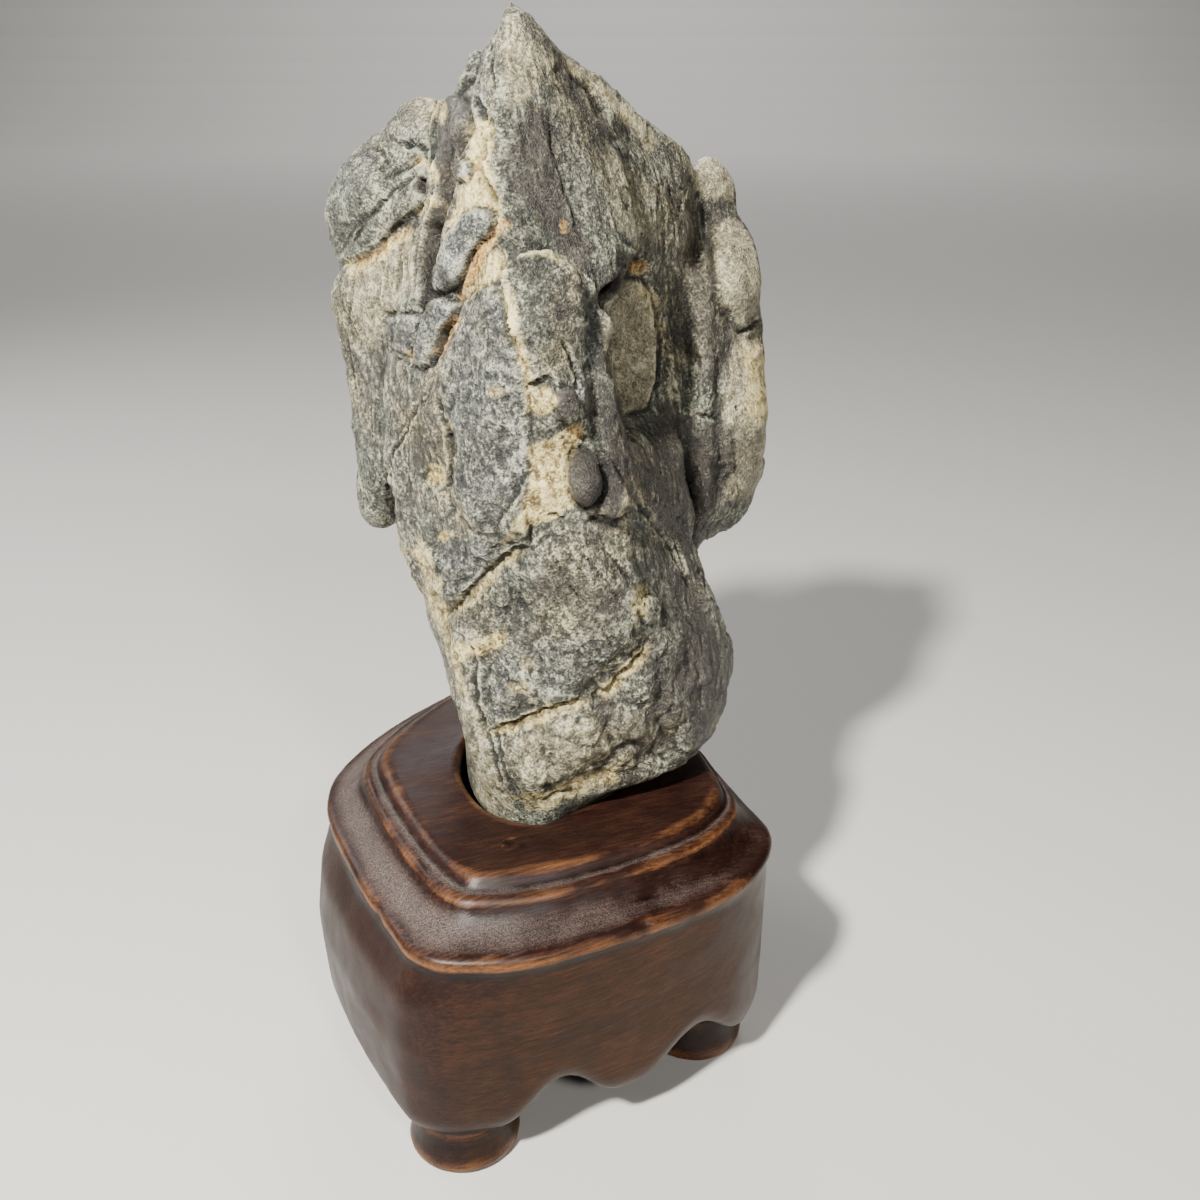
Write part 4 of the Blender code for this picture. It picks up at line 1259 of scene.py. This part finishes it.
def add(tree, kind, feeds=None, **settings):
    # a node with its settings and what feeds its sockets, a value or another socket
    node = tree.nodes.new(kind)
    for key, value in settings.items():
        setattr(node, key, value)
    for key, value in (feeds or {}).items():
        if isinstance(value, bpy.types.NodeSocket):
            tree.links.new(value, node.inputs[key])
        else:
            node.inputs[key].default_value = value
    return node


def mathOf(tree, operation, a, b):
    return add(tree, "ShaderNodeMath", {0: a, 1: b}, operation=operation).outputs[0]


def weighted(tree, *parts):
    # the sum of the sockets, each times its share
    total = None
    for socket, share in parts:
        if share != 1.0:
            socket = mathOf(tree, 'MULTIPLY', socket, share)
        total = socket if total is None else mathOf(tree, 'ADD', total, socket)
    return total


def blend(tree, share, a, b, kind='MIX'):
    return add(tree, "ShaderNodeMixRGB", {"Fac": share, "Color1": a, "Color2": b},
               blend_type=kind).outputs[0]


def noiseNode(tree, where, scale, detail, rough, twist):
    return add(tree, "ShaderNodeTexNoise", {"Vector": where, "Scale": scale, "Detail": detail,
                                            "Roughness": rough, "Distortion": twist}).outputs[0]


def tones(tree, value, stops):
    # colours along a value, each stop a place and a colour
    node = add(tree, "ShaderNodeValToRGB", {"Fac": value})
    ramp = node.color_ramp
    for end, (place, colour) in zip(ramp.elements, (stops[0], stops[-1])):
        end.position = place
        end.color = (*colour, 1.0)
    for place, colour in stops[1:-1]:
        ramp.elements.new(place).color = (*colour, 1.0)
    return node.outputs["Color"]


def remap(tree, value, low, high, toLow=0.0, toHigh=1.0):
    return add(tree, "ShaderNodeMapRange", {"Value": value, "From Min": low, "From Max": high,
                                            "To Min": toLow, "To Max": toHigh}).outputs[0]


def mask(tree, name):
    return add(tree, "ShaderNodeAttribute", attribute_name=name).outputs["Fac"]


def dress(tree, shader, colour, rough, height, strength, distance):
    bump = add(tree, "ShaderNodeBump", {"Height": height, "Strength": strength,
                                        "Distance": distance}).outputs["Normal"]
    for name, socket in (("Base Color", colour), ("Roughness", rough), ("Normal", bump)):
        tree.links.new(socket, shader.inputs[name])


def drawnSpace(tree, way, long):
    # object coordinates in millimetres, and the same squeezed along a direction
    here = add(tree, "ShaderNodeTexCoord").outputs["Object"]
    size = add(tree, "ShaderNodeMapping", {"Vector": here, "Scale": (1000.0,) * 3}).outputs[0]
    turn = Vector(way).normalized().rotation_difference(Vector((0, 0, 1))).to_euler()
    turned = add(tree, "ShaderNodeMapping", {"Vector": size, "Rotation": turn}).outputs[0]
    squeezed = add(tree, "ShaderNodeMapping", {"Vector": turned, "Scale": (1, 1, 1 / long)})
    return size, squeezed.outputs[0]


stoneTones = {
    "body": [(0.42, (0.009, 0.009, 0.007)), (0.475, (0.037, 0.037, 0.027)),
             (0.525, (0.102, 0.100, 0.073)), (0.61, (0.46, 0.44, 0.315))],
    # the tan tone: pale tan stone, and also painted light on the pillow in the hollow, the outer lumps,
    # the tip's face and the dome
    "tanAndLight": [(0.41, (0.042, 0.036, 0.020)), (0.48, (0.17, 0.150, 0.092)),
            (0.53, (0.30, 0.27, 0.175)), (0.60, (0.62, 0.58, 0.41))],
    "slate": [(0.42, (0.008, 0.009, 0.009)), (0.475, (0.032, 0.035, 0.033)),
              (0.53, (0.112, 0.119, 0.104)), (0.61, (0.49, 0.50, 0.42))],
    # the umber tone: dark stone, and also painted shade along creases, under knobs and on the sides
    # facing right
    "umberAndShade": [(0.41, (0.008, 0.006, 0.005)), (0.5, (0.029, 0.025, 0.020)),
              (0.61, (0.112, 0.100, 0.080))],
    "crust": [(0.41, (0.09, 0.062, 0.024)), (0.47, (0.38, 0.295, 0.112)),
              (0.57, (0.87, 0.74, 0.37))],
    "ochre": [(0.41, (0.10, 0.042, 0.010)), (0.48, (0.37, 0.20, 0.046)),
              (0.58, (0.80, 0.58, 0.22))],
    "tint": [(0.38, (0.93, 1.0, 1.02)), (0.5, (1.0, 1.0, 1.0)), (0.62, (1.10, 1.0, 0.84))],
    # the colour that the painted shade multiplies in where the stone closes itself off
    "paintedShade": (0.12, 0.10, 0.07),
}



# scale per millimetre, detail, roughness, distortion
stoneNoises = {
    "speck": (2.1, 3.0, 0.75, 0.3),
    "mottle": (0.62, 4.0, 0.7, 0.5),
    "edge": (0.35, 5.0, 0.7, 0.6),
    "patch": (0.16, 5.0, 0.6, 0.6),
    "broad": (0.045, 3.0, 0.5, 0.4),
    "streak": (1.1, 4.0, 0.7, 0.4),
}


def stoneMaterial():
    material, tree, shader = newMaterial("weathered stone")
    space, fibres = drawnSpace(tree, stone["lineation"], 6.0)
    speck, mottle, edge, patch, broad, streak = (
        noiseNode(tree, fibres if name == "streak" else space, *look)
        for name, look in stoneNoises.items())
    coarse = blend(tree, weighted(tree, (mask(tree, "ribbed"), 0.75)), mottle, streak)
    # the edges attribute lightens ridges and darkens hollows: painted highlight and painted shade
    mixed = weighted(tree, (speck, 0.46), (coarse, 0.30), (patch, 0.24), (mask(tree, "edges"), -0.085))
    tint = tones(tree, broad, stoneTones["tint"])
    colour = blend(tree, 1.0, tones(tree, mixed, stoneTones["body"]), tint, 'MULTIPLY')
    # the patch colours over the body, among them umber that also paints shade and tan that also paints
    # light
    for name in stonePatches:
        cover = remap(tree, weighted(tree, (mask(tree, name), 1.0), (edge, 1.5)), 0.95, 1.55)
        colour = blend(tree, cover, colour, tones(tree, mixed, stoneTones[name]))
    # painted shade where the stone closes itself off
    paintedShade = weighted(tree, (mask(tree, "paintedShade"), 0.9))
    colour = blend(tree, paintedShade, colour, (*stoneTones["paintedShade"], 1.0), 'MULTIPLY')
    rough = remap(tree, speck, 0.40, 0.60, 0.54, 0.25)
    dress(tree, shader, colour, rough, weighted(tree, (speck, 0.7), (coarse, 0.6)), 1.0, 0.0009)
    return material


woodTones = {
    "body": [(0.33, (0.004, 0.002, 0.001)), (0.48, (0.011, 0.004, 0.003)),
             (0.64, (0.033, 0.013, 0.007))],
    "paintedWarmGlow": [(0.33, (0.007, 0.003, 0.001)), (0.48, (0.022, 0.008, 0.002)),
             (0.64, (0.057, 0.021, 0.006))],
    "wornAndHighlight": [(0.38, (0.037, 0.012, 0.004)), (0.62, (0.246, 0.107, 0.041))],
    "dustAndSheen": [(0.40, (0.018, 0.012, 0.010)), (0.60, (0.17, 0.138, 0.122))],
    "grimeAndShade": (0.12, 0.08, 0.07),
}


woodNoises = {
    "figure": (0.35, 5.0, 0.6, 1.2),
    "fine": (2.2, 3.0, 0.6, 0.2),
    "blotch": (0.09, 5.0, 0.6, 0.5),
    "speck": (4.0, 4.0, 0.75, 0.0),
}


def woodMaterial():
    material, tree, shader = newMaterial("old hardwood")
    space, fibres = drawnSpace(tree, standWear["grain"], 11.0)
    figure, fine, blotch, speck = (
        noiseNode(tree, fibres if name in ("figure", "fine") else space, *look)
        for name, look in woodNoises.items())
    mixed = weighted(tree, (figure, 0.20), (fine, 0.30), (blotch, 0.25), (speck, 0.25))
    colour = tones(tree, mixed, woodTones["body"])
    # the painted warm glow on the walls facing right and front, then the wear with its painted highlight
    # near the front corner
    for name in ("paintedWarmGlow", "wornAndHighlight"):
        cover = weighted(tree, (mask(tree, name), 1.0), (mixed, 0.8))
        cover = remap(tree, cover, 0.60, 1.35, 0.0, 0.9)
        colour = blend(tree, cover, colour, tones(tree, mixed, woodTones[name]))
    # the grime and the painted shade darken the wood together
    grimeAndShade = remap(tree, mask(tree, "grimeAndShade"), 0.1, 1.0, 0.0, 0.85)
    colour = blend(tree, grimeAndShade, colour, (*woodTones["grimeAndShade"], 1.0), 'MULTIPLY')
    # the pale dusty bloom, which also carries the painted sheen on the parts facing left
    bloomAndSheen = weighted(tree, (mask(tree, "dustAndSheen"), 1.0), (speck, 0.4), (fine, 0.35), (blotch, 0.9))
    bloomAndSheen = remap(tree, bloomAndSheen, 1.1, 1.95, 0.0, 0.8)
    colour = blend(tree, bloomAndSheen, colour, tones(tree, speck, woodTones["dustAndSheen"]))
    rough = weighted(tree, (remap(tree, blotch, 0.35, 0.65, 0.32, 0.46), 1.0), (bloomAndSheen, 0.35))
    shader.inputs["Specular IOR Level"].default_value = 0.18
    dress(tree, shader, colour, rough, weighted(tree, (fine, 0.7), (speck, 0.3)), 0.35, 0.0002)
    return material


def plainMaterial(name, colour, roughness):
    material, _, shader = newMaterial(name)
    shader.inputs["Base Color"].default_value = (*colour, 1.0)
    shader.inputs["Roughness"].default_value = roughness
    return material


def makeCamera():
    data = bpy.data.cameras.new("camera")
    data.lens = camera["lens"]
    data.sensor_width = camera["sensor"]
    data.clip_start = 0.01
    eye = newObject("camera", data)
    eye.location = toFrame(camera["place"])
    eye.rotation_euler = (math.radians(90.0 - camera["pitch"]), 0.0, 0.0)
    bpy.context.scene.camera = eye


def areaLight(name, place, size, power, colour, aim=(0, 0, 0.11)):
    data = bpy.data.lights.new(name, 'AREA')
    data.shape = 'DISK'
    data.size = size
    data.energy = power
    data.color = colour
    lamp = newObject(name, data)
    lamp.location = place
    lamp.rotation_euler = (Vector(aim) - Vector(place)).to_track_quat('-Z', 'Y').to_euler()


studio = {
    "floor": ((0.5, 0.485, 0.46), 0.75),
    "floorHalf": 3.0,
    "bend": 1.2,                        # radius of the curve from the floor up into the wall
    "wall": 3.0,
    # lights: place, size, power, colour
    "key": ((-0.20, -0.37, 0.53), 0.05, 15.0, (1.0, 0.97, 0.91)),
    "side": ((0.34, -0.76, 0.72), 0.12, 5.5, (1.0, 0.98, 0.94)),
    "back": ((-0.55, 0.35, 0.45), 0.30, 2.4, (0.95, 0.97, 1.0)),
    "top": ((0.0, 3.2, 2.8), 2.0, 90.0, (1.0, 1.0, 1.0)),
    "sky": ((0.8, 0.8, 0.8), 0.04),
}


def makeFloor():
    # a floor that curves up into a wall far behind
    half, bend = studio["floorHalf"], studio["bend"]
    bm = bmesh.new()
    bmesh.ops.create_grid(bm, x_segments=1, y_segments=1, size=half)
    edge = [e for e in bm.edges if all(v.co.y > 0.9 * half for v in e.verts)]
    grown = bmesh.ops.spin(bm, geom=edge + list(edge[0].verts), axis=(1, 0, 0),
                           cent=(0, half, bend), angle=math.pi / 2, steps=16)["geom_last"]
    last = [g for g in grown if isinstance(g, bmesh.types.BMEdge)]
    top = bmesh.ops.extrude_edge_only(bm, edges=last)["geom"]
    bmesh.ops.translate(bm, vec=(0, 0, studio["wall"]),
                        verts=[g for g in top if isinstance(g, bmesh.types.BMVert)])
    bmesh.ops.recalc_face_normals(bm, faces=bm.faces)
    floor = newObject("paleFloor", meshOf(bm, "pale floor"))
    floor.data.materials.append(plainMaterial("pale floor", *studio["floor"]))


def makeLights():
    for name in ("key", "side", "back"):
        areaLight(name + "Light", *studio[name])
    areaLight("topLight", *studio["top"], aim=(0, 3.4, 0))
    world = bpy.data.worlds.new("studio")
    world.use_nodes = True
    colour, strength = studio["sky"]
    background = world.node_tree.nodes["Background"]
    background.inputs["Color"].default_value = (*colour, 1.0)
    background.inputs["Strength"].default_value = strength
    bpy.context.scene.world = world


def triangles(piece):
    return sum(len(p.vertices) - 2 for p in piece.data.polygons)


makeCamera()
makeFloor()
makeLights()
print("camera, floor and lights are in place")

carvedStand = makeStand()
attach(carvedStand, "root")
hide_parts("stand")
carvedStand.data.materials.append(woodMaterial())
print("stand:", triangles(carvedStand), "triangles")

scholarStone = makeStone()
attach(scholarStone, "root")
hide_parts("rock")
scholarStone.data.materials.append(stoneMaterial())
print("stone:", triangles(scholarStone), "triangles")
